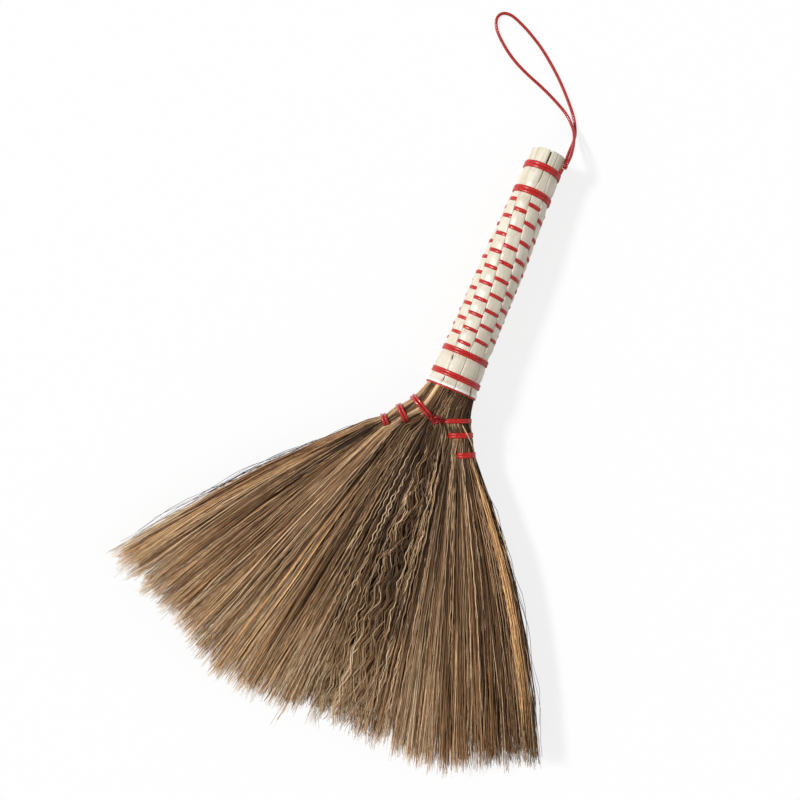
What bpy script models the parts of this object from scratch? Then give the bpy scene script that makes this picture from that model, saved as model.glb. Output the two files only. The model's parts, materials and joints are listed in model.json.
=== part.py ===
"""A flat, fan-shaped hand broom with a woven handle, in metres. It lies flat, its handle along +Y.

The handle is a tight bundle of stems that nine flat strips and one spiral cord are woven round. Below
its rim the bristles leave in seven bundles, which cord bindings let go one after another, so that the
broom spreads into a fan. A cord loop to hang it by is knotted to the side of the handle's top.
"""

import math
import random

import bmesh
import bpy
import numpy as np
from mathutils import Vector

MM = 0.001
GAP = 0.3 * MM  # left between two pieces that touch
UP = Vector((0, 0, 1))

# The handle, from its rim at y = 0 to its cut top
HANDLE_LENGTH = 159.4 * MM
STEM_RADIUS = 13.9 * MM  # of the stems at the rim
PLACE_SHARES = (0.0, 0.047, 0.148, 0.35, 0.55, 0.66, 0.78, 0.94, 1.0)
STEM_RADIUS_SHARES = (1.0, 0.964, 0.892, 0.849, 0.835, 0.777, 0.719, 0.676, 0.676)
STEM_SIDES = 16
BRISTLE_DEPTH = 11 * MM  # how far the bristles reach up inside the strips

# The woven strips
STRIPS = 9
STRIP_THICKNESS = 0.6 * MM
STRIP_FLAT_ANGLE = math.radians(13)  # half the angle of a strip's flat middle
STRIP_EDGE_ANGLE = math.radians(16)  # half the angle of the whole strip
SEAM_ANGLE = math.radians(4.4)  # of the uppermost seam between two strips, at the rim
TWIST_ANGLE = math.radians(47)  # of the strips round the handle, between these shares of its length
TWIST_SHARES = (0.19, 0.77)
TWIST_GROWTH = 1.5  # the exponent by which the twist grows towards the top
BULGE = 1.3 * MM  # of the strips between two bands
TOP_FLARE = 0.5 * MM
RIM_FLARE = 1.9 * MM
RIM_THICKNESS = 1.2 * MM
RIM_TURN = 2.4 * MM  # length of the thickened edge at the rim

# The cord that is woven through them
CORD_DIAMETER = 1.7 * MM
CORD_OVER_ANGLE = math.radians(15)  # half of the cord's run over a strip
CORD_UNDER_ANGLE = math.radians(13)  # half of its run under one
WEAVE_START = 3.53 * MM  # from the edge of the band above the weave to its first crossing
WEAVE_END = 3.1 * MM  # the least from its last crossing to the edge of the band below it
WEAVE_PITCH_SHARE = 0.0332  # of the handle's length, for one turn

# The wound bands on the handle
BAND_TURNS = 2
BAND_POINTS = 16  # to a turn
BAND_PITCH = 2.15 * MM
BAND_SHARES = {
    "top_band_upper": 0.934,
    "top_band_lower": 0.833,
    "lower_band_upper": 0.1412,
    "lower_band_lower": 0.047,
}
RIM_CORD_DIAMETER = 1.4 * MM
RIM_CORD_TURNS = 0.985

# The neck: the ends of each binding's place in plan, outer then inner, from the rim's centre
BINDINGS = {
    "left": (
        ((-20.8 * MM, -13.7 * MM), (-5.1 * MM, -20.0 * MM)),
        ((-26.5 * MM, -22.5 * MM), (-18.5 * MM, -29.1 * MM)),
        ((-32.8 * MM, -31.9 * MM), (-29.2 * MM, -35.5 * MM)),
    ),
    "right": (
        ((16.6 * MM, -14.6 * MM), (5.1 * MM, -19.3 * MM)),
        ((21.2 * MM, -22.4 * MM), (13.1 * MM, -25.5 * MM)),
        ((27.8 * MM, -32.9 * MM), (23.0 * MM, -34.9 * MM)),
    ),
}
BINDING_HALF_HEIGHTS = (11.4 * MM, 10.0 * MM, 9.0 * MM)
BINDING_CENTRES = (14.8 * MM, 13.2 * MM, 12.0 * MM)  # heights above the table
BINDING_DIAMETER = 1.4 * MM
BINDING_PITCH = 1.85 * MM
BINDING_TURNS = 2
BINDING_POINTS = 12
BINDING_ROUNDNESS = 2.6  # the exponent of the bundles' rounded sections
EDGE_SHARE = 0.93  # where a rounded section is cut off at its sides
CENTRE_HALF_WIDTH = 1.5 * MM
CENTRE_RELEASE = 24 * MM  # below the rim

# The bristles: name, side, shares of that side's width, bindings passed, columns, tip angles
BUNDLES = (
    ("bristles_left_outer", "left", (0.0, 0.42), 3, 8, (-41.5, -28.3)),
    ("bristles_left_middle", "left", (0.42, 0.62), 2, 7, (-28.3, -17.0)),
    ("bristles_left_inner", "left", (0.62, 1.0), 1, 8, (-17.0, -4.2)),
    ("bristles_right_inner", "right", (0.75, 1.0), 1, 7, (3.2, 12.5)),
    ("bristles_right_middle", "right", (0.46, 0.75), 2, 7, (12.5, 22.6)),
    ("bristles_right_outer", "right", (0.0, 0.46), 3, 8, (22.6, 36.5)),
)
CENTRE_TIP_ANGLES = (-4.2, 3.2)
CENTRE_COLUMNS = 5
ROWS = 6
FAN_REACH = {"left": 231 * MM, "centre": 224 * MM, "right": 239 * MM}  # from the rim's centre
REACH_SPREAD = 5 * MM
BOW = {"left": 9 * MM, "right": 15 * MM}  # of the outermost bristles
BOW_PARTS = 3  # lengths that a bowed bristle is made of
FAN_THICKNESS = 21 * MM  # at the tips
ROOT_FILL_SHARE = 0.66  # of a column or a row that its bristle fills where it starts
TIP_FILL_SHARE = 0.6  # and at its tip
ROOT_SINK = 1.5 * MM  # how deep a bristle's root sits in its bundle
ROOT_SPREAD_SHARE = 0.84  # of the bundle's height that carries roots
STAGGER_SHARE = 0.16  # of a column, by which every other row is moved
MARGIN_SHARE = 0.06  # of a bundle's width that stays free of roots on each side
SEED = 7  # of the unlike lengths of the bristles

# The knots and the loop
KNOT_RADIUS = 2.0 * MM
KNOT_PLACE_SHARE = 0.9655  # of the handle's length
KNOT_ANGLE = math.radians(64)  # round the handle from its top
KNOT_SEGMENTS = 14
KNOT_RINGS = 8
KNOT_TURNS = 3  # of cord that show on a knot
KNOT_SLANT = 1.6  # radians by which they turn over a knot's half length
KNOT_DENT_SHARE = 0.22  # of the radius, between those turns
CENTRE_KNOT_SIZE = (2.6 * MM, 2.0 * MM, 1.5 * MM)
LOOP_DIAMETER = 2.0 * MM
NEXT_STRETCH = 8  # radii of a cord, within which it is its own neighbour
LOOP_STEP = 5.4 * MM
LOOP_ROUTE_PARTS = 24  # points that the smooth route is worked out at, between two of these
LOOP_ROUTE = (  # from the rim's centre, above the table
    (11.7 * MM, 156.6 * MM, 16.9 * MM),
    (11.8 * MM, 161.5 * MM, 14.9 * MM),
    (11.9 * MM, 167.5 * MM, 10.6 * MM),
    (11.7 * MM, 174.0 * MM, 6.0 * MM),
    (10.6 * MM, 180.5 * MM, 2.6 * MM),
    (6.2 * MM, 189.4 * MM, 1.02 * MM),
    (-2.2 * MM, 199.1 * MM, 1.02 * MM),
    (-13.7 * MM, 210.2 * MM, 1.02 * MM),
    (-27.8 * MM, 221.2 * MM, 1.02 * MM),
    (-39.0 * MM, 227.9 * MM, 1.02 * MM),
    (-48.1 * MM, 232.2 * MM, 1.02 * MM),
    (-56.0 * MM, 234.7 * MM, 1.02 * MM),
    (-61.6 * MM, 233.6 * MM, 1.02 * MM),
    (-63.6 * MM, 229.0 * MM, 1.02 * MM),
    (-60.4 * MM, 222.2 * MM, 1.02 * MM),
    (-51.8 * MM, 214.6 * MM, 1.02 * MM),
    (-42.7 * MM, 208.8 * MM, 1.02 * MM),
    (-32.4 * MM, 204.2 * MM, 1.02 * MM),
    (-20.1 * MM, 199.8 * MM, 1.02 * MM),
    (-9.2 * MM, 195.2 * MM, 1.1 * MM),
    (0.4 * MM, 189.8 * MM, 2.0 * MM),
    (7.0 * MM, 183.2 * MM, 4.4 * MM),
    (10.2 * MM, 177.0 * MM, 8.0 * MM),
    (11.4 * MM, 169.5 * MM, 13.0 * MM),
    (11.7 * MM, 163.2 * MM, 17.0 * MM),
    (11.7 * MM, 156.6 * MM, 19.5 * MM),
)

# Radial levels above the stems: a strip's underside, and the cord's middle
LOW = GAP
HIGH = GAP + CORD_DIAMETER + GAP
CORD_INSIDE = GAP + CORD_DIAMETER / 2
CORD_OUTSIDE = GAP + STRIP_THICKNESS + GAP + CORD_DIAMETER / 2
# Half the length of the handle that a band and the cord's own pitch take up
BAND_EDGE = BAND_PITCH + CORD_DIAMETER / 2
# How far a bundle keeps its waist on each side of a binding
BINDING_RUN = BINDING_PITCH * BINDING_TURNS / 2 + BINDING_DIAMETER / 2 + GAP


def clear_scene():
    for obj in list(bpy.data.objects):
        bpy.data.objects.remove(obj, do_unlink=True)


def new_collection(name, hidden=False):
    collection = bpy.data.collections.new(name)
    bpy.context.scene.collection.children.link(collection)
    collection.hide_render = hidden
    return collection


def new_material(name, colour, roughness):
    material = bpy.data.materials.new(name)
    material.use_nodes = True
    shader = material.node_tree.nodes["Principled BSDF"]
    shader.inputs["Base Color"].default_value = (*colour, 1)
    shader.inputs["Roughness"].default_value = roughness
    shader.inputs["Metallic"].default_value = 0
    return material


def add_object(name, data, collection, material=None):
    obj = bpy.data.objects.new(name, data)
    collection.objects.link(obj)
    if material:
        data.materials.append(material)
    return obj


def add_loft(shape, rings):
    """Adds a closed skin through rings of the same number of points, capped at both ends."""
    rows = [[shape.verts.new(point) for point in ring] for ring in rings]
    for row, following in zip(rows, rows[1:]):
        for k in range(len(row)):
            n = (k + 1) % len(row)
            shape.faces.new((row[k], row[n], following[n], following[k]))
    shape.faces.new(rows[0][::-1])
    shape.faces.new(rows[-1])


def lofts(name, ring_lists, collection, material=None):
    """An object of one closed solid for each list of rings, all turned the same way."""
    mesh = bpy.data.meshes.new(name)
    shape = bmesh.new()
    for rings in ring_lists:
        add_loft(shape, rings)
    if shape.calc_volume(signed=True) < 0:
        bmesh.ops.reverse_faces(shape, faces=shape.faces)
    shape.to_mesh(mesh)
    shape.free()
    return add_object(name, mesh, collection, material)


def tube(name, points, radius, collection, material, resolution=1):
    """A round cord along the points, with filled ends."""
    curve = bpy.data.curves.new(name, "CURVE")
    curve.dimensions = "3D"
    curve.bevel_depth = radius
    curve.bevel_resolution = resolution
    curve.use_fill_caps = True
    spline = curve.splines.new("POLY")
    spline.points.add(len(points) - 1)
    for place, point in zip(spline.points, points):
        place.co = (*point, 1)
    return add_object(name, curve, collection, material)


def print_gap(name, points, radius):
    """Prints the least clear distance of a cord to itself, past the stretch that is simply next."""
    places = np.array([tuple(point) for point in points])
    steps = np.linalg.norm(np.diff(places, axis=0), axis=1)
    lengths = np.concatenate(([0], np.cumsum(steps)))
    apart = np.linalg.norm(places[:, None] - places[None], axis=2)
    far = np.abs(lengths[:, None] - lengths[None]) > NEXT_STRETCH * radius
    print(f"{name}: least gap to itself {(apart[far].min() - 2 * radius) / MM:.2f} mm")


def stem_radius(y):
    return STEM_RADIUS * float(np.interp(y / HANDLE_LENGTH, PLACE_SHARES, STEM_RADIUS_SHARES))


def core_radius(y):
    """Clear of the flat middles of the strips and of the cord's straight runs."""
    return (stem_radius(y) + GAP) * math.cos(STRIP_FLAT_ANGLE) - GAP


def handle_reach(y):
    if y == 0:
        return stem_radius(y) + RIM_FLARE + RIM_THICKNESS
    return stem_radius(y) + HIGH + STRIP_THICKNESS


def axis_height(y):
    """Height of the handle's axis: its tapered underside lies along the table."""
    places = [HANDLE_LENGTH * share for share in PLACE_SHARES]
    start = handle_reach(places[0])
    slope = (handle_reach(places[-1]) - start) / HANDLE_LENGTH
    lift = max(handle_reach(place) - start - slope * place for place in places)
    return start + slope * y + lift


def handle_point(y, angle, radius):
    """A point on the handle; the angle is measured from the top, towards +X."""
    return Vector((radius * math.sin(angle), y, axis_height(y) + radius * math.cos(angle)))


def twist(y):
    first, last = TWIST_SHARES
    share = min(max((y / HANDLE_LENGTH - first) / (last - first), 0), 1)
    return TWIST_ANGLE * share**TWIST_GROWTH


def strip_angle(strip, y):
    """The angle of a strip's middle: strip 0 runs along the underside."""
    return math.pi + SEAM_ANGLE + math.tau * strip / STRIPS - twist(y)


def band_place(name):
    return HANDLE_LENGTH * BAND_SHARES[name]


def weave_top():
    return band_place("top_band_lower") - BAND_EDGE - WEAVE_START


def crossing_step():
    """How far the cord comes down the handle from one strip to the next."""
    return HANDLE_LENGTH * WEAVE_PITCH_SHARE / STRIPS


def crossing_place(crossing):
    return weave_top() - crossing_step() * crossing


def crossing_count():
    """The weave fills the room between its two bands."""
    bottom = band_place("lower_band_upper") + BAND_EDGE + WEAVE_END
    return int((weave_top() - bottom) / crossing_step()) + 1


def slant(offset):
    """How far the cord comes down the handle over an angle."""
    return crossing_step() * STRIPS * offset / math.tau


def strip_stations(strip):
    """Places along a strip, from the top to the rim: place, level, thickness and whether it slants."""
    stations = [(HANDLE_LENGTH - GAP, LOW + TOP_FLARE, STRIP_THICKNESS, False)]

    def add_bands(upper, lower):
        upper_place = band_place(upper)
        lower_place = band_place(lower)
        stations.append((upper_place + BAND_EDGE, LOW, STRIP_THICKNESS, False))
        stations.append((upper_place - BAND_EDGE, LOW, STRIP_THICKNESS, False))
        stations.append(((upper_place + lower_place) / 2, LOW + BULGE, STRIP_THICKNESS, False))
        stations.append((lower_place + BAND_EDGE, LOW, STRIP_THICKNESS, False))
        return lower_place - BAND_EDGE

    last = add_bands("top_band_upper", "top_band_lower")
    stations.append((last, LOW, STRIP_THICKNESS, False))
    for crossing in range(strip, crossing_count(), STRIPS):
        level = HIGH if crossing % 2 else LOW
        stations.append((crossing_place(crossing), level, STRIP_THICKNESS, True))
    last = add_bands("lower_band_upper", "lower_band_lower")
    stations.append((max(last, RIM_TURN + GAP), LOW, STRIP_THICKNESS, False))
    stations.append((RIM_TURN, LOW + RIM_FLARE / 2, STRIP_THICKNESS, False))
    stations.append((0, RIM_FLARE, RIM_THICKNESS, False))
    return stations


def make_strip(strip, collection, material):
    offsets = (-STRIP_EDGE_ANGLE, -STRIP_FLAT_ANGLE, STRIP_FLAT_ANGLE, STRIP_EDGE_ANGLE)
    rings = []
    for place, level, thickness, slanted in strip_stations(strip):
        angle = strip_angle(strip, place)
        inner = stem_radius(place) + level
        ring = []
        for radius, order in ((inner, offsets), (inner + thickness, reversed(offsets))):
            for offset in order:
                y = place - slant(offset) if slanted else place
                ring.append(handle_point(y, angle + offset, radius))
        rings.append(ring)
    return lofts(f"handle_strip_{strip + 1}", [rings], collection, material)


def make_core(collection, material):
    places = [BRISTLE_DEPTH + GAP]
    places += [HANDLE_LENGTH * share for share in PLACE_SHARES if HANDLE_LENGTH * share > places[0]]
    angles = [math.tau * k / STEM_SIDES for k in range(STEM_SIDES)]
    rings = [[handle_point(y, angle, core_radius(y)) for angle in angles] for y in places]
    return lofts("stem_core", [rings], collection, material)


def make_weaving_cord(collection, material):
    points = []
    for crossing in range(crossing_count()):
        inside = crossing % 2
        place = crossing_place(crossing)
        half = CORD_UNDER_ANGLE if inside else CORD_OVER_ANGLE
        radius = stem_radius(place) + (CORD_INSIDE if inside else CORD_OUTSIDE)
        for offset in (-half, half):
            angle = strip_angle(crossing, place) + offset
            points.append(handle_point(place - slant(offset), angle, radius))
    print_gap("weaving_cord", points, CORD_DIAMETER / 2)
    tube("weaving_cord", points, CORD_DIAMETER / 2, collection, material)


def winding(place, turns, pitch, level, points_to_a_turn):
    """Points of a cord wound on the handle, which comes down it by one pitch a turn."""
    points = []
    steps = round(turns * points_to_a_turn)
    for step in range(steps + 1):
        turn = turns * step / steps
        y = place + pitch * (turns / 2 - turn)
        radius = (stem_radius(max(y, 0)) + level) / math.cos(math.pi / points_to_a_turn)
        points.append(handle_point(y, math.pi + math.tau * turn, radius))
    return points


def make_bands(collection, material):
    for name in BAND_SHARES:
        points = winding(band_place(name), BAND_TURNS, BAND_PITCH, CORD_OUTSIDE, BAND_POINTS)
        print_gap(name, points, CORD_DIAMETER / 2)
        tube(name, points, CORD_DIAMETER / 2, collection, material)
    radius = RIM_CORD_DIAMETER / 2
    points = winding(-GAP - radius, RIM_CORD_TURNS, 0, LOW + radius, BAND_POINTS)
    tube("rim_cord", points, radius, collection, material)


def rounded(share):
    """Half height, as a share, of a rounded section at a share of its half width."""
    share = min(abs(share), EDGE_SHARE)
    return (1 - share**BINDING_ROUNDNESS) ** (1 / BINDING_ROUNDNESS)


class Line:
    """A line across the neck in plan, that one or more bundles pass, with their height there."""

    def __init__(self, outer, inner, share, centre, half_height, round_section):
        self.outer = Vector((*outer, 0))
        self.inner = Vector((*inner, 0))
        self.share = share  # of the side's whole width that passes the line
        self.centre = centre
        self.half_height = half_height
        self.round_section = round_section  # a circle about the handle's axis

    def width(self):
        return (self.inner - self.outer).length

    def across(self):
        return (self.inner - self.outer).normalized()

    def half_height_at(self, distance):
        if self.round_section:
            x = (self.outer + self.across() * distance).x
            return math.sqrt(max(self.half_height**2 - x**2, 0))
        return self.half_height * rounded(2 * distance / self.width() - 1)

    def point(self, distance, share):
        """share runs from -1 at the bundle's underside to 1 at its top."""
        height = self.centre + share * self.half_height_at(distance)
        return self.outer + self.across() * distance + UP * height

    def section(self, first, last):
        middle = (first + last) / 2
        top = [self.point(distance, 1) for distance in (first, middle, last)]
        bottom = [self.point(distance, -1) for distance in (last, middle, first)]
        return top + bottom

    def span(self, shares):
        """Where a bundle with these shares of the side's width begins and ends on the line."""
        first, last = (self.width() * share / self.share for share in shares)
        inset = 0 if self.round_section else self.width() * (1 - EDGE_SHARE) / 2
        first += GAP / 2 if shares[0] > 0 else inset
        last -= GAP / 2 if shares[1] < self.share else inset
        return first, last


def handle_lines(side):
    """The lines inside the handle and at its rim, for one side of the neck."""
    sign = -1 if side == "left" else 1
    lines = []
    thread_end = -RIM_CORD_DIAMETER - 2 * GAP
    for y in (BRISTLE_DEPTH, 0, thread_end):
        radius = core_radius(max(y, 0))
        outer = (sign * radius * EDGE_SHARE, y)
        inner = (sign * (CENTRE_HALF_WIDTH + GAP), y)
        lines.append(Line(outer, inner, 1, axis_height(y), radius, True))
    return lines


def binding_line(side, number):
    """The line of a binding; the shares of the side that pass it end where its bundles end."""
    outer, inner = BINDINGS[side][number]
    passing = [shares[1] for _, place, shares, bindings, *_ in BUNDLES if place == side and bindings > number]
    return Line(
        outer, inner, max(passing), BINDING_CENTRES[number], BINDING_HALF_HEIGHTS[number], False
    )


def downstream(line):
    """The way that the bristles take through a binding's line."""
    across = line.across()
    way = Vector((across.y, -across.x, 0))
    return way if way.y < 0 else -way


def moved(line, distance):
    """The same line, further down the bristles."""
    step = downstream(line) * distance
    return Line(
        (line.outer + step).xy,
        (line.inner + step).xy,
        line.share,
        line.centre,
        line.half_height,
        line.round_section,
    )


def centre_lines():
    """The middle bundle is a slab, cut by the same circle as its neighbours."""
    lines = []
    thread_end = -RIM_CORD_DIAMETER - 2 * GAP
    for y in (BRISTLE_DEPTH, 0, thread_end):
        radius = core_radius(max(y, 0))
        ends = ((-CENTRE_HALF_WIDTH, y), (CENTRE_HALF_WIDTH, y))
        lines.append(Line(*ends, 1, axis_height(y), radius, True))
    ends = ((-CENTRE_HALF_WIDTH, -CENTRE_RELEASE), (CENTRE_HALF_WIDTH, -CENTRE_RELEASE))
    half_height = BINDING_HALF_HEIGHTS[0]
    lines.append(Line(*ends, 1, BINDING_CENTRES[0], half_height, True))
    return lines


def fan_reach(angle):
    """How far the tips are from the rim's centre, at an angle from the handle's line."""
    angles = (BUNDLES[0][5][0], 0, BUNDLES[-1][5][1])
    reaches = (FAN_REACH["left"], FAN_REACH["centre"], FAN_REACH["right"])
    return float(np.interp(angle, angles, reaches))


def strand_ring(point, way, size, turned):
    """A bristle's three-sided section, which stands on its base or, turned, on its tip."""
    side = way.cross(UP).normalized() * size.x / 2
    rise = way.normalized().cross(side).normalized() * size.y / 2
    if turned:
        return [point + rise + side, point + rise - side, point - rise]
    return [point - rise - side, point - rise + side, point + rise]


def strand_places(line, span, tip_share, height_share, columns, tip_angles, bow, dice):
    """Places along one bristle, from its root inside the bundle to its tip: point, width and height."""
    first, last = span
    cell = (1 - 2 * MARGIN_SHARE) / columns
    distance = first + (last - first) * (MARGIN_SHARE + tip_share * (1 - 2 * MARGIN_SHARE))
    root = line.point(distance, (2 * height_share - 1) * ROOT_SPREAD_SHARE)
    root_height = 2 * line.half_height_at(distance) * ROOT_SPREAD_SHARE / ROWS
    root_size = Vector(((last - first) * cell, root_height)) * ROOT_FILL_SHARE
    outer_angle, inner_angle = (math.radians(angle) for angle in tip_angles)
    angle = outer_angle + (inner_angle - outer_angle) * tip_share
    reach = fan_reach(math.degrees(angle)) + dice.uniform(-REACH_SPREAD, REACH_SPREAD)
    spacing = abs(inner_angle - outer_angle) * reach / columns
    tip_size = Vector((spacing, FAN_THICKNESS / ROWS)) * TIP_FILL_SHARE
    rise = tip_size.y / 2 + (FAN_THICKNESS - tip_size.y) * height_share
    tip = Vector((reach * math.sin(angle), -reach * math.cos(angle), rise))
    outward = UP.cross(tip - root).normalized() * math.copysign(1, outer_angle)
    places = []
    parts = BOW_PARTS if bow else 1
    for part in range(1, parts + 1):
        along = part / parts
        aside = outward * bow * (1 - tip_share) * math.sin(math.pi * along)
        places.append((root.lerp(tip, along) + aside, root_size.lerp(tip_size, along)))
    way = (places[0][0] - root).normalized()
    return [(root - way * ROOT_SINK, root_size), *places]


def make_strands(name, line, span, columns, tip_angles, bow, cutters, dice):
    """The bristles of one bundle, as one mesh of separate three-sided strands that start inside it."""
    strands = []
    for row in range(ROWS):
        shift = STAGGER_SHARE if row % 2 else -STAGGER_SHARE
        for column in range(columns):
            share = (column + 0.5 + shift) / columns
            height_share = (row + 0.5) / ROWS
            places = strand_places(line, span, share, height_share, columns, tip_angles, bow, dice)
            way = places[-1][0] - places[0][0]
            strands.append([strand_ring(point, way, size, row % 2) for point, size in places])
    obj = lofts(name, strands, cutters)
    obj.hide_render = True
    obj.display_type = "WIRE"
    return obj


def make_bundle(name, lines, shares, columns, tip_angles, bow, collection, cutters, material, dice):
    """A bundle of bristles: tight through the neck, then loose strands from its last line on."""
    rings = [line.section(*line.span(shares)) for line in lines]
    bundle = lofts(name, [rings], collection, material)
    end = lines[-1]
    strands = make_strands(
        f"{name}_strands", end, end.span(shares), columns, tip_angles, bow, cutters, dice
    )
    join = bundle.modifiers.new("strands", "BOOLEAN")
    join.operation = "UNION"
    join.solver = "EXACT"
    join.object = strands


def make_bristles(collection, cutters, materials):
    dice = random.Random(SEED)
    for name, side, shares, bindings, columns, tip_angles in BUNDLES:
        lines = handle_lines(side)
        for number in range(bindings):
            line = binding_line(side, number)
            lines += [moved(line, -BINDING_RUN), moved(line, BINDING_RUN)]
        if side == "right":
            tip_angles = tip_angles[::-1]
        bow = BOW[side] if bindings == len(BINDINGS[side]) else 0
        material = materials[bindings % len(materials)]
        make_bundle(name, lines, shares, columns, tip_angles, bow, collection, cutters, material, dice)
    make_bundle(
        "bristles_centre", centre_lines(), (0, 1), CENTRE_COLUMNS, CENTRE_TIP_ANGLES, 0,
        collection, cutters, materials[0], dice,
    )


def make_bindings(collection, material):
    radius = BINDING_DIAMETER / 2
    for side, lines in BINDINGS.items():
        for number in range(len(lines)):
            line = binding_line(side, number)
            middle = (line.outer + line.inner) / 2 + UP * line.centre
            grown = 1 / math.cos(math.pi / BINDING_POINTS)
            half_width = (line.width() / 2 + GAP + radius) * grown
            half_height = (line.half_height + GAP + radius) * grown
            steps = BINDING_TURNS * BINDING_POINTS
            points = []
            for step in range(steps + 1):
                angle = -math.pi / 2 + math.tau * BINDING_TURNS * step / steps
                power = 2 / BINDING_ROUNDNESS
                across = math.copysign(abs(math.cos(angle)) ** power, math.cos(angle))
                rise = math.copysign(abs(math.sin(angle)) ** power, math.sin(angle))
                along = BINDING_PITCH * BINDING_TURNS * (step / steps - 1 / 2)
                points.append(
                    middle
                    + line.across() * half_width * across
                    + UP * half_height * rise
                    + downstream(line) * along
                )
            name = f"{side}_binding_{number + 1}"
            print_gap(name, points, radius)
            tube(name, points, radius, collection, material)


def make_round_knot(name, place, size, collection, material):
    """A knot, as a rounded body with the slanting dents between the turns of its cord."""
    bpy.ops.mesh.primitive_uv_sphere_add(segments=KNOT_SEGMENTS, ring_count=KNOT_RINGS, radius=1)
    knot = bpy.context.object
    knot.name = name
    knot.data.name = name
    for vertex in knot.data.vertices:
        x, y, z = vertex.co
        turned = math.atan2(z, x) * KNOT_TURNS / 2 + y * KNOT_SLANT
        fullness = 1 - KNOT_DENT_SHARE * math.hypot(x, z) * (1 - abs(math.cos(turned)))
        vertex.co = Vector(value * extent * fullness for value, extent in zip(vertex.co, size))
    knot.location = place
    for owner in list(knot.users_collection):
        owner.objects.unlink(knot)
    collection.objects.link(knot)
    knot.data.materials.append(material)
    knot.data.shade_smooth()


def make_centre_knot(collection, material):
    """It sits on the middle bundle, where the two uppermost bindings meet."""
    y = (BINDINGS["left"][0][1][1] + BINDINGS["right"][0][1][1]) / 2
    *_, upper, lower = centre_lines()
    tops = [line.point(line.width() / 2, 1) for line in (lower, upper)]
    ahead = y + CENTRE_KNOT_SIZE[1]
    top = float(np.interp(ahead, [point.y for point in tops], [point.z for point in tops]))
    place = Vector((0, y, top + GAP + CENTRE_KNOT_SIZE[2]))
    make_round_knot("centre_knot", place, CENTRE_KNOT_SIZE, collection, material)


def smooth_route(route, step):
    """Points at even steps on a smooth curve through the route's points, that curve, and its length."""
    points = [Vector(point) for point in route]
    padded = [points[0] * 2 - points[1], *points, points[-1] * 2 - points[-2]]
    fine = []
    for a, b, c, d in zip(padded, padded[1:], padded[2:], padded[3:]):
        for part in range(LOOP_ROUTE_PARTS):
            t = part / LOOP_ROUTE_PARTS
            fine.append(
                (b * 2 + (c - a) * t + (a * 2 - b * 5 + c * 4 - d) * t**2
                 + (b * 3 - a - c * 3 + d) * t**3) / 2
            )
    fine.append(points[-1])
    lengths = np.cumsum([0] + [(b - a).length for a, b in zip(fine, fine[1:])])
    count = max(round(lengths[-1] / step), 1)
    places = np.linspace(0, lengths[-1], count + 1)
    axes = [np.interp(places, lengths, [point[axis] for point in fine]) for axis in range(3)]
    return [Vector(point) for point in zip(*axes)], fine, float(lengths[-1])


def make_hanging_loop(collection, material):
    place = HANDLE_LENGTH * KNOT_PLACE_SHARE
    radius = stem_radius(place) + LOW + TOP_FLARE + STRIP_THICKNESS + GAP + KNOT_RADIUS
    pivot = handle_point(place, KNOT_ANGLE, radius)
    size = (KNOT_RADIUS, KNOT_RADIUS, KNOT_RADIUS)
    make_round_knot("loop_knot", pivot, size, collection, material)
    points, curve, length = smooth_route(LOOP_ROUTE, LOOP_STEP)
    print_gap("hanging_loop", curve, LOOP_DIAMETER / 2)
    loop = tube(
        "hanging_loop", [point - pivot for point in points], LOOP_DIAMETER / 2, collection, material, 2
    )
    loop.location = pivot
    print(f"hanging loop {length / MM:.1f} mm long")
    return pivot


def settle_on_origin(collection, loose):
    """Moves everything so that the origin is under the middle of the object's box, cord left out."""
    bpy.context.view_layer.update()
    graph = bpy.context.evaluated_depsgraph_get()
    low = Vector((math.inf, math.inf, math.inf))
    high = -low
    for obj in collection.objects:
        if obj.name in loose:
            continue
        evaluated = obj.evaluated_get(graph)
        mesh = evaluated.to_mesh()
        for vertex in mesh.vertices:
            point = evaluated.matrix_world @ vertex.co
            low = Vector(map(min, low, point))
            high = Vector(map(max, high, point))
        evaluated.to_mesh_clear()
    shift = Vector((-(low.x + high.x) / 2, -(low.y + high.y) / 2, -low.z))
    for obj in bpy.data.objects:
        obj.location += shift
    return shift, high - low


def main():
    clear_scene()
    broom = new_collection("hand_broom")
    cutters = new_collection("cutters", hidden=True)
    ivory = new_material("ivory_strip", (0.80, 0.76, 0.66), 0.45)
    red = new_material("red_cord", (0.56, 0.03, 0.03), 0.3)
    stems = new_material("stem_brown", (0.34, 0.22, 0.12), 0.8)
    browns = [
        new_material("bristle_olive", (0.24, 0.17, 0.10), 0.8),
        new_material("bristle_brown", (0.33, 0.22, 0.13), 0.8),
        new_material("bristle_tan", (0.40, 0.27, 0.16), 0.8),
    ]
    make_core(broom, stems)
    for strip in range(STRIPS):
        make_strip(strip, broom, ivory)
    make_weaving_cord(broom, red)
    make_bands(broom, red)
    make_bristles(broom, cutters, browns)
    make_bindings(broom, red)
    make_centre_knot(broom, red)
    pivot = make_hanging_loop(broom, red)
    shift, size = settle_on_origin(broom, ("hanging_loop",))
    top = Vector((0, HANDLE_LENGTH, axis_height(HANDLE_LENGTH))) + shift
    print("box", [round(value, 6) for value in size])
    print("shift", [round(value, 7) for value in shift])
    print("loop pivot", [round(value, 6) for value in pivot + shift])
    print("handle end", [round(value, 6) for value in top], "radius", core_radius(HANDLE_LENGTH))


main()
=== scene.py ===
"""The looks of the hand broom: woven ivory handle, red cords, and a fan of fine brown bristles."""

import json
import math

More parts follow.
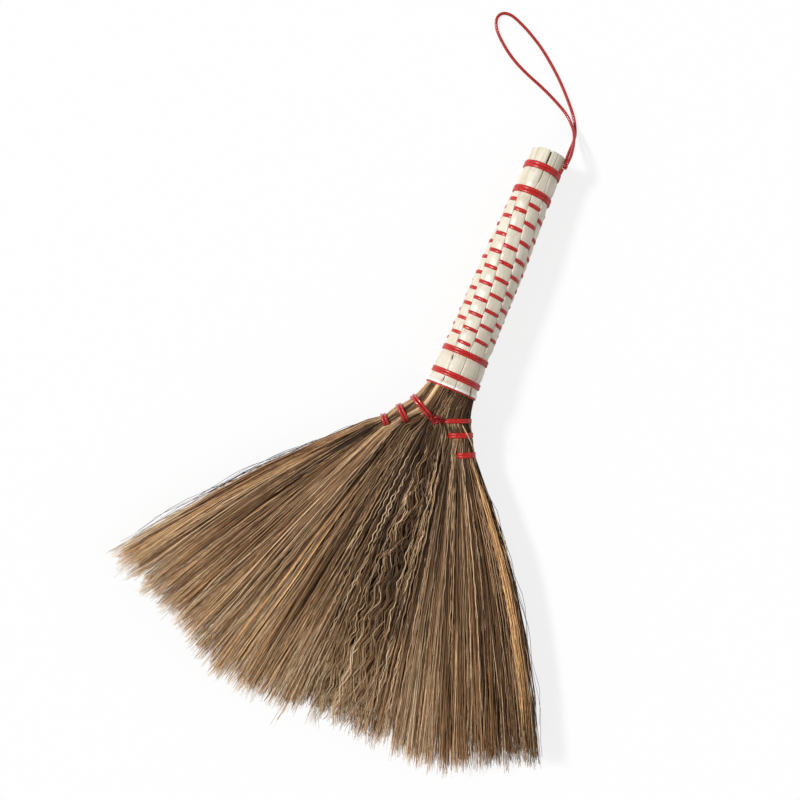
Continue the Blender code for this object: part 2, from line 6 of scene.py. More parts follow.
import bpy
import numpy as np
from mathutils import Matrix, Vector


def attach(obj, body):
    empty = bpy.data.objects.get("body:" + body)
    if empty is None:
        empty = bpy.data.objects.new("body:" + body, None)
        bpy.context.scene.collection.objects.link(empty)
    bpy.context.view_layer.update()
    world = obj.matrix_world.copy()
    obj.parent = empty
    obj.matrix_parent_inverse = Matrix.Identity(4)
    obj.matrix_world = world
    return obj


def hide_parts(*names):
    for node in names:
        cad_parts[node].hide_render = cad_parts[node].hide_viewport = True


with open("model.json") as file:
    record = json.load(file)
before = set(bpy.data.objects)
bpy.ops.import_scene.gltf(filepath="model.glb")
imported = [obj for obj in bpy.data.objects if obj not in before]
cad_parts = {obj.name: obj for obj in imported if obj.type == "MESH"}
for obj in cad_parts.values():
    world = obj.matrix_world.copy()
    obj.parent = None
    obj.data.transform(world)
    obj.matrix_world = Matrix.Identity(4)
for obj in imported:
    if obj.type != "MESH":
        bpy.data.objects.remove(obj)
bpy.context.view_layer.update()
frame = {"nodes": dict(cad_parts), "record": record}

MM = 0.001
DICE = np.random.default_rng(20)

# The handle, as in the frame: places along it from the rim, and the stems' radius there
HANDLE_LENGTH = 159.4 * MM
STEM_RADIUS = 13.9 * MM
PLACE_SHARES = (0.0, 0.047, 0.148, 0.35, 0.55, 0.66, 0.78, 0.94, 1.0)
STEM_RADIUS_SHARES = (1.0, 0.964, 0.892, 0.849, 0.835, 0.777, 0.719, 0.676, 0.676)
AXIS_AT_RIM = 17.094 * MM
AXIS_AT_END = 12.382 * MM
STRIPS = 9
STRIP_THICKNESS = 0.6 * MM
STRIP_HALF_ANGLE = math.radians(20.0)
SEAM_ANGLE = math.radians(4.4)
TWIST_ANGLE = math.radians(47)
TWIST_SHARES = (0.19, 0.77)
TWIST_GROWTH = 1.5
RIM_THICKNESS = 1.3 * MM
RIM_ROLL = 2.6 * MM
WEAVE_TOP = 126.25 * MM
WEAVE_PITCH = 5.292 * MM
CROSSINGS = 167
WEAVE_BOTTOM = WEAVE_TOP - WEAVE_PITCH * (CROSSINGS - 1) / STRIPS
# The bands: place, the two turns' pitch, and their cord's width and thickness
BANDS = {
    "top_band_upper": (147.1 * MM, 2.15 * MM, 2.35 * MM, 1.1 * MM),
    "top_band_lower": (130.3 * MM, 2.15 * MM, 2.35 * MM, 1.1 * MM),
    "lower_band_upper": (22.51 * MM, 1.8 * MM, 2.0 * MM, 1.1 * MM),
    "lower_band_lower": (7.49 * MM, 1.8 * MM, 2.0 * MM, 1.1 * MM),
}
# How much lower than even steps the crossings lie: over the weave's length, from its top
WEAVE_SHARES = (0.0, 0.14, 0.3, 0.68, 0.88, 1.0)
WEAVE_SHIFTS = (0.4 * MM, 1.6 * MM, 3.9 * MM, 3.4 * MM, 1.7 * MM, 0.3 * MM)
# Levels of the strips above the stems: under the cord and over it, and along the plain skirts
LOW = 1.4 * MM
HIGH = 1.98 * MM
UNDER_BAND = 1.15 * MM
SKIRT = 1.72 * MM
TOP_SKIRT = 1.75 * MM
TOP_LEVEL = 1.3 * MM
TOP_CUT = 1.0 * MM
RIM_LEVEL = 1.75 * MM
EDGE_DROP = 0.05 * MM
PILLOW_DROP = 0.26 * MM
GRAIN_DEPTH = 0.014 * MM
GRAINS = 6
TOP_JITTER = 0.25
LIP_ROUND = 0.5 * MM
EDGE_THINNING = 0.22
STRIP_ROWS = 350
STRIP_COLUMNS = 13
# Where a seam lies off its even place: the strip before it, first and last place, and the angle
SEAM_SHIFTS = (
    (3, -20 * MM, 25 * MM, math.radians(7.5)),
    (5, 131 * MM, 190 * MM, math.radians(3.4)),
    (6, 129 * MM, 190 * MM, math.radians(-12)),
)
SHIFT_EASE = 9 * MM
# The slits at seams: the strip before it, first and last place, and the opening's angle
SLITS = (
    (3, 1.6 * MM, 5.6 * MM, math.radians(2.6)),
    (3, 15.6 * MM, 19.8 * MM, math.radians(3.2)),
    (5, -3 * MM, 4.4 * MM, math.radians(4.2)),
    (5, 149 * MM, 166 * MM, math.radians(5.6)),
    (5, 136 * MM, 150 * MM, math.radians(1.5)),
)
SLIT_END = 1.3 * MM
MARK_WIDTHS = (2.25 * MM, 2.75 * MM)
MARK_THICKNESS = 0.95 * MM
MARK_REACH = math.radians(15.6)
# The woven cord: how deep it sits under a strip and over one, and how it dips at a crossing's ends
UNDER_SINK = 0.05 * MM
OVER_SINK = 0.2 * MM
UNDER_DIP = 0.2 * MM
OVER_DIP = -0.32 * MM
CORD_STEP = 0.55 * MM
CORD_LAY = 3.4 * MM
BAND_TURNS = 2
BAND_SINK = 0.05 * MM
TUCK_TURN = 0.06
TUCK_DEPTH = 0.6 * MM
PRESS_SHARE = 0.7
SKIRT_EASE = 2 * MM
RIM_THREAD = 1.15 * MM
# The two cords that tie the loop: angle from its knot and start below it
TIES = ((-0.07, 1.45 * MM), (0.09, 1.2 * MM))
CORE_DEPTH = 9 * MM
CORE_RIBS = 27
STEM_ENDS = 46
STEM_END_RADIUS = 1.3 * MM
# A stem's cut end: rings at depths below its top, and their shares of its radius
STEM_END_RINGS = ((5 * MM, 1.0), (0, 1.0), (0, 0.55), (0.3 * MM, 0.5), (0.3 * MM, 0.02))

# The hanging loop's route, as in the frame, from the rim's centre
LOOP_DIAMETER = 2.0 * MM
LOOP_LAY = 5.0 * MM
WRAP_CORD = 1.25 * MM
WRAP_RADIUS = 1.05 * MM
WRAP_TURNS = 2.6
LOOP_ROUTE = np.array((
    (11.3, 155.2, 17.9),
    (10.8, 160.5, 15.6),
    (11.0, 167.5, 10.9),
    (11.3, 174.0, 6.1),
    (10.6, 180.5, 2.6),
    (6.2, 189.4, 1.02),
    (-2.2, 199.1, 1.02),
    (-13.7, 210.2, 1.02),
    (-27.8, 221.2, 1.02),
    (-39.0, 227.9, 1.02),
    (-48.1, 232.2, 1.02),
    (-56.0, 234.7, 1.02),
    (-61.6, 233.6, 1.02),
    (-63.6, 229.0, 1.02),
    (-60.4, 222.2, 1.02),
    (-51.8, 214.6, 1.02),
    (-42.7, 208.8, 1.02),
    (-32.4, 204.2, 1.02),
    (-20.1, 199.8, 1.02),
    (-9.2, 195.2, 1.1),
    (0.4, 189.8, 2.0),
    (7.0, 183.2, 4.4),
    (10.2, 177.0, 8.0),
    (11.9, 169.5, 12.6),
    (12.6, 162.2, 16.6),
    (12.3, 155.2, 18.8),
)) * MM

# The ends of the neck's bindings in plan, in mm: outer, then inner
BINDINGS = {
    "left": (
        ((-19.6, -13.3), (-4.2, -22.0)),
        ((-25.6, -21.9), (-18.1, -29.6)),
        ((-32.2, -31.4), (-28.6, -36.2)),
    ),
    "right": (
        ((18.3, -13.6), (0.2, -21.6)),
        ((22.7, -21.4), (9.2, -27.7)),
        ((28.9, -32.0), (18.6, -37.2)),
    ),
}
BINDING_HALF_HEIGHTS = (11.4 * MM, 10.0 * MM, 9.0 * MM)
BINDING_CENTRES = (14.8 * MM, 13.2 * MM, 12.0 * MM)
BINDING_TURNS = 2
BINDING_ROUNDNESS = 2.6
CENTRE_HALF_WIDTH = 1.5 * MM
# The neck at the rim: places along the handle, and the bristles' half widths and half heights there
NECK_STATIONS = (
    (8 * MM, 12.6 * MM, 12.9 * MM),
    (0.0, 14.6 * MM, 14.8 * MM),
    (-2.8 * MM, 15.5 * MM, 15.7 * MM),
)
# Per binding: the turns' pitch, and their cord's width and thickness
BINDING_LOOKS = {
    "left": ((1.95 * MM, 1.85 * MM, 1.6 * MM),) * 3,
    "right": (
        (1.2 * MM, 1.7 * MM, 1.0 * MM),
        (1.5 * MM, 2.0 * MM, 1.0 * MM),
        (1.6 * MM, 2.1 * MM, 1.0 * MM),
    ),
}
BINDING_RUN = 2.2 * MM
# The share of a side's width that each binding holds
HELD = {"left": (1.0, 0.62, 0.42), "right": (1.0, 0.75, 0.46)}
# The fan's lines between bundles: side, share of that side's width, tip angle in degrees
FAN_LINES = (
    ("left", 0.0, -41.5),
    ("left", 0.42, -28.3),
    ("left", 0.62, -17.0),
    ("left", 1.0, -4.2),
    ("right", 1.0, 3.2),
    ("right", 0.75, 12.5),
    ("right", 0.46, 22.6),
    ("right", 0.0, 36.3),
)
# The bundles: name, the fan's line on its left, strands on top, strands within, painted light at the root
BUNDLES = (
    ("bristles_left_outer", 0, 740, 560, 0.2),
    ("bristles_left_middle", 1, 570, 430, 0.32),
    ("bristles_left_inner", 2, 630, 470, 0.42),
    ("bristles_centre", 3, 260, 320, 0.16),
    ("bristles_right_inner", 4, 380, 400, 0.3),
    ("bristles_right_middle", 5, 560, 430, 0.15),
    ("bristles_right_outer", 6, 740, 570, 0.09),
)
TOP_RINGS = 17
CRIMPED_RINGS = 74
UNDER_RINGS = 7
# Pale single strands on top: the bundle, shares across it, number, swing in mm and warmth
ACCENTS = (
    (0, 0.0, 1.0, 56, 0.35, 0.5),
    (1, 0.0, 1.0, 44, 0.4, 0.5),
    (2, 0.0, 1.0, 42, 0.6, 0.4),
    (3, 0.0, 1.0, 8, 0.8, 0.3),
    (4, 0.4, 1.0, 22, 0.65, 0.35),
    (5, 0.0, 1.0, 64, 0.55, 0.4),
    (6, 0.0, 1.0, 70, 0.5, 0.5),
    (6, 0.78, 0.9, 30, 0.35, 1.0),
)
ACCENT_RINGS = 36
# The crimp of the fan's middle: where it is strongest, how wide it reaches, its swing and its wavelength
CRIMP_ANGLE = 4.0
CRIMP_BREADTH = 5.5
CRIMP_SWING = 2.1 * MM
CRIMP_WAVE = 20 * MM
CRIMP_DRIFT = 0.3
CRIMP_START = 34 * MM
CRIMP_RISE = 36 * MM
# How light the bristles are, partly their own colour and partly painted shade and light, darker towards the
# right and below the neck's knot: over the fan's breadth in degrees, at rising distances from the rim
TONE_ANGLES = (-41, -34, -27, -20, -13, -8, -4, 3, 10, 17, 24, 31, 36)
TONE_REACHES = (58 * MM, 72 * MM, 110 * MM, 150 * MM, 188 * MM, 225 * MM)
TONE_AND_SHADE_LEVELS = (
    (0.3, -0.55, 0.44, -0.34, -0.34, -0.38, -0.44, -0.16, -0.44, -0.26, -0.2, -0.48, -0.62),
    (0.28, -0.44, 0.46, -0.2, -0.24, -0.4, -0.4, -0.12, -0.44, -0.18, -0.16, -0.4, -0.56),
    (0.15, -0.14, 0.12, 0.28, -0.02, -0.18, -0.32, -0.16, -0.4, -0.06, -0.08, -0.31, -0.36),
    (0.24, 0.1, 0.06, 0.32, 0.2, 0.1, -0.04, 0.12, -0.12, 0.12, 0.02, -0.18, -0.04),
    (0.54, 0.44, 0.48, 0.6, 0.42, 0.42, 0.46, 0.46, 0.3, 0.42, 0.17, -0.22, 0.0),
    (0.65, 0.58, 0.58, 0.62, 0.54, 0.5, 0.5, 0.5, 0.46, 0.5, 0.3, 0.06, 0.06),
)
TONE_LOWEST = -0.3
OUTLINE_ANGLES = (-41.4, -37, -33, -29, -25.5, -20, -14.5, -8, -4, -2, 1, 4.5, 9, 12, 18, 23, 28, 31, 35.5)
OUTLINE_REACHES = np.array((
    241, 244, 235, 227, 234, 238, 234, 233, 226, 218, 224, 229, 227, 232, 241, 243, 245, 246, 243
)) * MM
# The tufts and notches along the frayed edge, at random angles in degrees
TUFTS = 64
TUFT_ANGLES = np.sort(DICE.uniform(-43, 38, TUFTS))
TUFT_REACHES = DICE.uniform(0, 1, TUFTS) ** 0.5
TUFT_DEPTH = 0.045
FAN_THICKNESS = 20 * MM
FREE_STATIONS = (0.08, 0.2, 0.36, 0.54, 0.76, 1.0)
BOW = {"left": 5.5 * MM, "right": 8.5 * MM}
WISP_SIZE = 5
WISP_SPREAD = 0.011
# Spreads of what a wisp has in common, and of each strand's own
SWAY = (math.radians(1.1), math.radians(0.5))
TONE_SPREADS = (0.12, 0.16)
FAN_LIMITS = (math.radians(-41.8), math.radians(35.9))
# Where the fan is warmer or cooler: middle and breadth in degrees, and how much
WARM_PARTS = ((29, 4, 0.15), (1, 8, -0.35))
ROOT_REACH = 62 * MM
# Crinkled pale fibres: the bundle, shares across it and number
CRINKLED = ((2, 0.6, 1.0, 12), (3, 0.0, 1.0, 48), (4, 0.0, 0.9, 44))
CRINKLED_RINGS = 64
NECK_FIBRES = 18
NECK_RINGS = 40
NECK_KNOT_SHIFT = np.array((-2.4, -1.6, -0.2)) * MM
# Hairs along the edges: the bundle, how far past it they stray, and number
HAIR_RINGS = 18
EDGE_HAIRS = ((0, -0.085, 16), (6, -0.04, 5))
STRAY_STRAW = np.array((
    (14.6, -18.2, 26.4),
    (19.6, -22.4, 25.0),
    (24.0, -26.2, 21.5),
    (27.2, -30.0, 16.5),
)) * MM
FLOOR_GAP = 0.1 * MM

# The camera: straight above the broom, as the photograph was taken
CAMERA_HEIGHT = 606 * MM
CAMERA_PLACE = (-22.2 * MM, 16.8 * MM)
CAMERA_TURN = math.radians(22.72)
CAMERA_LENS = 42.75
SENSOR = 36.0
# The suns: strength, breadth in degrees, and how far they shine towards the picture's right and its top
SUNS = {"key": (3.1, 9, 1.1, -0.36), "fill": (0.55, 60, -1.3, 0.2)}
WORLD_STRENGTH = 0.33
FLOOR_HALF = 4.0
FLOOR_GLOW = 0.8


def handle_end():
    for mount in frame["record"]["mounts"]:
        if mount["name"] == "handle_end":
            return np.array(mount["pos_m"])


ORIGIN = handle_end() - np.array((0, HANDLE_LENGTH, AXIS_AT_END))  # under the rim's centre


def node_box(name):
    """The lowest and the highest corner of a CAD node's box."""
    node = frame["nodes"][name]
    corners = np.array([node.matrix_world @ Vector(corner) for corner in node.bound_box])
    return corners.min(axis=0), corners.max(axis=0)


def mesh_object(name, points, faces, material, body, attributes=None):
    """A mesh from arrays, its points given from the rim's centre, that rides on a body."""
    mesh = bpy.data.meshes.new(name)
    faces = np.asarray(faces, np.int32)
    size = faces.shape[1]
    mesh.vertices.add(len(points))
    mesh.vertices.foreach_set("co", (np.asarray(points) + ORIGIN).astype(np.float32).ravel())
    mesh.loops.add(faces.size)
    mesh.loops.foreach_set("vertex_index", faces.ravel())
    mesh.polygons.add(len(faces))
    mesh.polygons.foreach_set("loop_start", np.arange(len(faces), dtype=np.int32) * size)
    mesh.update(calc_edges=True)
    mesh.polygons.foreach_set("use_smooth", np.ones(len(faces), bool))
    for key, values in (attributes or {}).items():
        layer = mesh.attributes.new(key, "FLOAT", "POINT")
        layer.data.foreach_set("value", np.asarray(values, np.float32).ravel())
    mesh.materials.append(material)
    obj = bpy.data.objects.new(name, mesh)
    bpy.context.scene.collection.objects.link(obj)
    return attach(obj, body)


def tube_faces(rows, sides):
    """Quads of a tube whose points are numbered ring by ring."""
    ring = np.arange(sides)
    following = (ring + 1) % sides
    starts = np.arange(rows - 1)[:, None] * sides
    corners = (starts + ring, starts + following, starts + sides + following, starts + sides + ring)
    return np.stack(corners, axis=-1).reshape(-1, 4)


def spline(a, b, c, d, t):
    """A smooth curve's points from b to c, where it comes from a and goes on to d."""
    return (2 * b + (c - a) * t + (2 * a - 5 * b + 4 * c - d) * t**2 + (3 * b - a - 3 * c + d) * t**3) / 2


def lengths_along(path):
    return np.concatenate(([0], np.cumsum(np.linalg.norm(np.diff(path, axis=0), axis=1))))


def strand_lengths(paths):
    return np.cumsum(np.linalg.norm(np.diff(paths, axis=1, prepend=paths[:, :1]), axis=2), axis=1)


def points_at(places, lengths, path):
    return np.stack([np.interp(places, lengths, path[:, axis]) for axis in range(3)], axis=1)


def unit(ways):
    return ways / np.maximum(np.linalg.norm(ways, axis=-1, keepdims=True), 1e-9)


def smooth_curve(route, step):
    """Points at even steps along a smooth curve through the route's points."""
    points = np.array(route, float)
    padded = np.vstack((2 * points[0] - points[1], points, 2 * points[-1] - points[-2]))
    t = np.linspace(0, 1, 24, endpoint=False)[:, None]
    fine = [spline(*corners, t) for corners in zip(padded, padded[1:], padded[2:], padded[3:])]
    fine = np.vstack([*fine, points[-1:]])
    lengths = lengths_along(fine)
    places = np.linspace(0, lengths[-1], max(int(round(lengths[-1] / step)), 1) + 1)
    return points_at(places, lengths, fine)


def frames_along(path):
    """Directions across a path at each of its points, carried along it without twist."""
    ways = unit(np.gradient(path, axis=0))
    side = np.cross(ways[0], (0.123, 0.456, 0.882))
    sides = []
    for way in ways:
        side = side - way * side.dot(way)
        side /= np.linalg.norm(side)
        sides.append(side)
    sides = np.array(sides)
    return sides, np.cross(ways, sides)


def laid_cord(
    name, path, width, thickness, lay, body, ups=None, plies=3, sides=12, depth=0.16, material=None, node=None
):
    """A cord of twisted plies along a path, with round ends. Its thickness lies along ups, if given."""
    if ups is None:
        across, up = frames_along(path)
    else:
        ways = np.gradient(path, axis=0)
        across = unit(np.cross(ways, ups))
        up = unit(np.cross(across, ways))
    lengths = lengths_along(path)
    angles = np.linspace(0, math.tau, sides, endpoint=False)
    turn = math.tau * lengths / lay
    lobes = np.abs(np.cos(plies / 2 * (angles[None, :] - turn[:, None])))
    fullness = 1 - depth * (1 - lobes)
    end = np.minimum(lengths, lengths[-1] - lengths) / (thickness / 2)
    fullness *= np.sqrt(np.clip(1 - (1 - np.clip(end, 0, 1)) ** 2, 0.0004, 1))[:, None]
    points = (
        path[:, None]
        + across[:, None] * (np.cos(angles)[None, :] * fullness * width / 2)[..., None]
        + up[:, None] * (np.sin(angles)[None, :] * fullness * thickness / 2)[..., None]
    ).reshape(-1, 3)
    faces = tube_faces(len(path), sides)
    cord = mesh_object(name, points, faces, material or RED, body, {"ply": lobes.ravel()})
    if node:
        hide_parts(node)
    return cord


def knot_path(centre, size, turn):
    """A closed overhand knot, as wide, long and high as the size says, and turned in plan."""
    t = np.linspace(0, math.tau, 120)
    shape = np.stack((np.sin(t) + 2 * np.sin(2 * t), np.cos(t) - 2 * np.cos(2 * t), -np.sin(3 * t)), axis=1)
    shape *= np.array(size) / (2.9, 2.9, 1.0)
    turned = shape.copy()
    turned[:, 0] = shape[:, 0] * math.cos(turn) - shape[:, 1] * math.sin(turn)
    turned[:, 1] = shape[:, 0] * math.sin(turn) + shape[:, 1] * math.cos(turn)
    return turned + centre


def stem_radius(y):
    return STEM_RADIUS * np.interp(np.asarray(y) / HANDLE_LENGTH, PLACE_SHARES, STEM_RADIUS_SHARES)


def axis_height(y):
    return AXIS_AT_RIM + (AXIS_AT_END - AXIS_AT_RIM) * np.asarray(y) / HANDLE_LENGTH


def handle_points(y, angle, radius):
    y, angle, radius = np.broadcast_arrays(y, angle, radius)
    return np.stack((radius * np.sin(angle), y, axis_height(y) + radius * np.cos(angle)), axis=-1)


def twist(y):
    first, last = TWIST_SHARES
    share = np.clip((np.asarray(y) / HANDLE_LENGTH - first) / (last - first), 0, 1)
    return TWIST_ANGLE * share**TWIST_GROWTH


def strip_angle(strip, y):
    return math.pi + SEAM_ANGLE + math.tau * strip / STRIPS - twist(y)


# Materials


def node_material(name, colour, roughness):
    material = bpy.data.materials.new(name)
    material.use_nodes = True
    nodes = material.node_tree.nodes
    shader = nodes["Principled BSDF"]
    shader.inputs["Base Color"].default_value = (*colour, 1)
    shader.inputs["Roughness"].default_value = roughness
    return material, nodes, material.node_tree.links, shader


def stretched_noise(nodes, links, scale, detail=4.0):
    """Noise on the object's own coordinates, drawn out by unlike scales along X, Y and Z."""
    coordinates = nodes.new("ShaderNodeTexCoord")
    mapping = nodes.new("ShaderNodeMapping")
    mapping.inputs["Scale"].default_value = scale
    noise = nodes.new("ShaderNodeTexNoise")
    noise.inputs["Scale"].default_value = 1.0
    noise.inputs["Detail"].default_value = detail
    links.new(coordinates.outputs["Object"], mapping.inputs["Vector"])
    links.new(mapping.outputs["Vector"], noise.inputs["Vector"])
    return noise.outputs["Fac"]


def ramp(nodes, links, value, stops):
    node = nodes.new("ShaderNodeValToRGB")
    elements = node.color_ramp.elements
    while len(elements) < len(stops):
        elements.new(0.5)
    for element, (place, colour) in zip(elements, stops):
        element.position = place
        element.color = (*colour, 1)
    links.new(value, node.inputs["Fac"])
    return node.outputs["Color"]


def multiplied(nodes, links, first, second):
    mix = nodes.new("ShaderNodeMix")
    mix.data_type = "RGBA"
    mix.blend_type = "MULTIPLY"
    mix.inputs["Factor"].default_value = 1.0
    links.new(first, mix.inputs["A"])
    links.new(second, mix.inputs["B"])
    return mix.outputs["Result"]


def attribute(nodes, name):
    node = nodes.new("ShaderNodeAttribute")
    node.attribute_name = name
    return node.outputs["Fac"]


def strip_material():
    material, nodes, links, shader = node_material("ivory_strip", (0.80, 0.76, 0.66), 0.42)
    grain = stretched_noise(nodes, links, (1500, 60, 1500))
    patches = stretched_noise(nodes, links, (180, 45, 180), 2.0)
    colour = ramp(nodes, links, grain, [(0.3, (0.60, 0.53, 0.42)), (0.6, (0.74, 0.685, 0.575))])
    worn = ramp(nodes, links, patches, [(0.35, (0.88, 0.86, 0.80)), (0.62, (1.0, 1.0, 1.0))])
    mix = multiplied(nodes, links, colour, worn)
    # Painted highlight: the rim's lip is painted near white, standing in for light that catches it
    painted_rim_highlight = nodes.new("ShaderNodeMix")
    painted_rim_highlight.data_type = "RGBA"
    painted_rim_highlight.inputs["B"].default_value = (0.92, 0.89, 0.84, 1)
    links.new(attribute(nodes, "rim"), painted_rim_highlight.inputs["Factor"])
    links.new(mix, painted_rim_highlight.inputs["A"])
    links.new(painted_rim_highlight.outputs["Result"], shader.inputs["Base Color"])
    bump = nodes.new("ShaderNodeBump")
    bump.inputs["Strength"].default_value = 0.25
    bump.inputs["Distance"].default_value = 0.1 * MM
    links.new(grain, bump.inputs["Height"])
    links.new(bump.outputs["Normal"], shader.inputs["Normal"])
    shader.inputs["Coat Weight"].default_value = 0.15
    shader.inputs["Coat Roughness"].default_value = 0.35
    return material


def cord_material(name, coat, depth):
    """Twisted red cord: coat is its gloss, and depth how far its colour is darkened towards near black, which
    on the neck's knot is painted shade.
    """
    material, nodes, links, shader = node_material(name, (0.56, 0.03, 0.03), 0.38)
    speckle = stretched_noise(nodes, links, (1400, 1400, 1400), 2.0)
    colour = ramp(
        nodes, links, speckle,
        [(0.3, (0.31, 0.007, 0.008)), (0.5, (0.53, 0.014, 0.011)), (0.74, (0.73, 0.062, 0.04))],
    )
    # Painted shade: the colour is darker in the grooves between the plies
    groove_shade = ramp(nodes, links, attribute(nodes, "ply"), [(0.15, (0.36, 0.36, 0.36)), (0.75, (1, 1, 1))])
    mix = multiplied(nodes, links, colour, groove_shade)
    dark = nodes.new("ShaderNodeMix")
    dark.data_type = "RGBA"
    dark.inputs["Factor"].default_value = depth
    dark.inputs["B"].default_value = (0.07, 0.005, 0.006, 1)
    links.new(mix, dark.inputs["A"])
    links.new(dark.outputs["Result"], shader.inputs["Base Color"])
    shader.inputs["Specular IOR Level"].default_value = 0.3
    shader.inputs["Coat Weight"].default_value = coat
    shader.inputs["Coat Roughness"].default_value = 0.16
    return material


def stem_material():
    material, nodes, links, shader = node_material("dry_stem", (0.34, 0.22, 0.12), 0.8)
    noise = stretched_noise(nodes, links, (900, 900, 900), 3.0)
    colour = ramp(nodes, links, noise, [(0.35, (0.16, 0.10, 0.05)), (0.65, (0.48, 0.34, 0.20))])
    links.new(colour, shader.inputs["Base Color"])
    return material


def bristle_material():
    material, nodes, links, shader = node_material("bristle", (0.30, 0.20, 0.12), 0.66)
    shader.inputs["Specular IOR Level"].default_value = 0.22
    tone = ramp(
        nodes, links, attribute(nodes, "tone"),
        [
            (0.0, (0.011, 0.0065, 0.004)),
            (0.15, (0.027, 0.0145, 0.008)),
            (0.23, (0.045, 0.024, 0.013)),
            (0.46, (0.135, 0.073, 0.037)),
            (0.69, (0.34, 0.194, 0.1)),
            (0.885, (0.58, 0.37, 0.21)),
            (1.0, (0.86, 0.65, 0.42)),
        ],
    )
    noise = stretched_noise(nodes, links, (260, 260, 260), 3.0)
    mottle = ramp(nodes, links, noise, [(0.3, (0.86, 0.85, 0.84)), (0.7, (1.1, 1.08, 1.05))])
    hues = [(0.0, (0.86, 0.92, 0.92)), (0.5, (1, 1, 1)), (1.0, (1.16, 1.0, 0.76))]
    hue = ramp(nodes, links, attribute(nodes, "warm"), hues)
    mottled = multiplied(nodes, links, tone, mottle)
    links.new(multiplied(nodes, links, mottled, hue), shader.inputs["Base Color"])
    return material


IVORY = strip_material()
RED = cord_material("red_cord", 0.16, 0.0)
GLOSSY = cord_material("glossy_red_cord", 0.9, 0.0)
CRIMSON = cord_material("crimson_cord", 0.6, 0.16)
# The neck's knot: the red cord darkened, as painted shade
SHADED_RED = cord_material("shaded_red_cord", 0.1, 0.55)
STEM = stem_material()
BRISTLE = bristle_material()


# The camera, the floor and the lights


def make_stage():
    camera = bpy.data.cameras.new("camera")
    camera.lens = CAMERA_LENS
    camera.sensor_width = SENSOR
    obj = bpy.data.objects.new("camera", camera)
    obj.location = (*CAMERA_PLACE, CAMERA_HEIGHT)
    obj.rotation_euler = (0, 0, CAMERA_TURN)
    bpy.context.scene.collection.objects.link(obj)
    bpy.context.scene.camera = obj

    material, nodes, links, shader = node_material("pale_floor", (0.9, 0.9, 0.9), 0.9)
    paths = nodes.new("ShaderNodeLightPath")
    glow = nodes.new("ShaderNodeEmission")
    glow.inputs["Strength"].default_value = 1.0
    seen = nodes.new("ShaderNodeMath")
    seen.operation = "MULTIPLY"
    seen.inputs[1].default_value = FLOOR_GLOW
    mix = nodes.new("ShaderNodeMixShader")
    links.new(paths.outputs["Is Camera Ray"], seen.inputs[0])
    links.new(seen.outputs[0], mix.inputs["Fac"])
    links.new(shader.outputs[0], mix.inputs[1])
    links.new(glow.outputs[0], mix.inputs[2])
    links.new(mix.outputs[0], nodes["Material Output"].inputs["Surface"])
    floor = bpy.data.meshes.new("floor")
    half = FLOOR_HALF
    floor.from_pydata(
        [(-half, -half, 0), (half, -half, 0), (half, half, 0), (-half, half, 0)], [], [(0, 1, 2, 3)]
    )
    floor.materials.append(material)
    obj = bpy.data.objects.new("floor", floor)
    bpy.context.scene.collection.objects.link(obj)

    world = bpy.data.worlds.new("studio")
    bpy.context.scene.world = world
    world.use_nodes = True
    background = world.node_tree.nodes["Background"]
    background.inputs["Color"].default_value = (1, 1, 1, 1)
    background.inputs["Strength"].default_value = WORLD_STRENGTH

    right = Vector((math.cos(CAMERA_TURN), math.sin(CAMERA_TURN), 0))
    ahead = Vector((-math.sin(CAMERA_TURN), math.cos(CAMERA_TURN), 0))
    for name, (energy, breadth, across, up) in SUNS.items():
        sun = bpy.data.lights.new(name, "SUN")
        sun.energy = energy
        sun.angle = math.radians(breadth)
        lamp = bpy.data.objects.new(name, sun)
        way = right * across + ahead * up - Vector((0, 0, 1))
        lamp.rotation_euler = way.to_track_quat("-Z", "Y").to_euler()
        bpy.context.scene.collection.objects.link(lamp)

    bpy.context.scene.view_settings.view_transform = "Standard"


# The hanging loop


def knot_centre():
    low, high = node_box("loop_knot")
    return (low + high) / 2 - ORIGIN


def wrap_path(centre, twice_above):
    """Tight turns of cord around the loop's two ends, which leave the knot towards a point above it."""
    way = twice_above / 2 - centre
    way /= np.linalg.norm(way)
    aside = np.cross(way, (0, 0, 1))
    aside /= np.linalg.norm(aside)
    turn = np.linspace(-WRAP_TURNS / 2, WRAP_TURNS / 2, 100)[:, None]
    around = aside * np.cos(math.tau * turn) + np.cross(way, aside) * np.sin(math.tau * turn)
    radius = WRAP_RADIUS * (1 - 0.4 * (2 * turn / WRAP_TURNS) ** 2)
    return centre + way * turn * WRAP_CORD * 0.85 + around * radius


def make_loop():
    path = smooth_curve(LOOP_ROUTE, 0.35 * MM)
    loop = laid_cord(
        "loop_cord", path, LOOP_DIAMETER, LOOP_DIAMETER, LOOP_LAY, "hanging_loop", depth=0.12,
        material=CRIMSON, node="hanging_loop",
    )
    laid_cord(
        "knot_cord", wrap_path(knot_centre(), path[0] + path[-1]), WRAP_CORD, WRAP_CORD, CORD_LAY,
        "loop_knot", material=CRIMSON, node="loop_knot",
    )


# The handle


def eased(y, places, levels):
    """Levels between places, joined by smooth steps. The places rise."""
    places, levels = np.array(places), np.array(levels)
    index = np.clip(np.searchsorted(places, y, side="right") - 1, 0, len(places) - 2)
    share = np.clip((y - places[index]) / (places[index + 1] - places[index]), 0, 1)
    return levels[index] + (levels[index + 1] - levels[index]) * share * share * (3 - 2 * share)


def crossing_place(crossing):
    shift = np.interp(crossing / (CROSSINGS - 1), WEAVE_SHARES, WEAVE_SHIFTS)
    return WEAVE_TOP - WEAVE_PITCH * crossing / STRIPS - shift


def band_edge(name):
    _, pitch, width, _ = BANDS[name]
    return pitch + width / 2


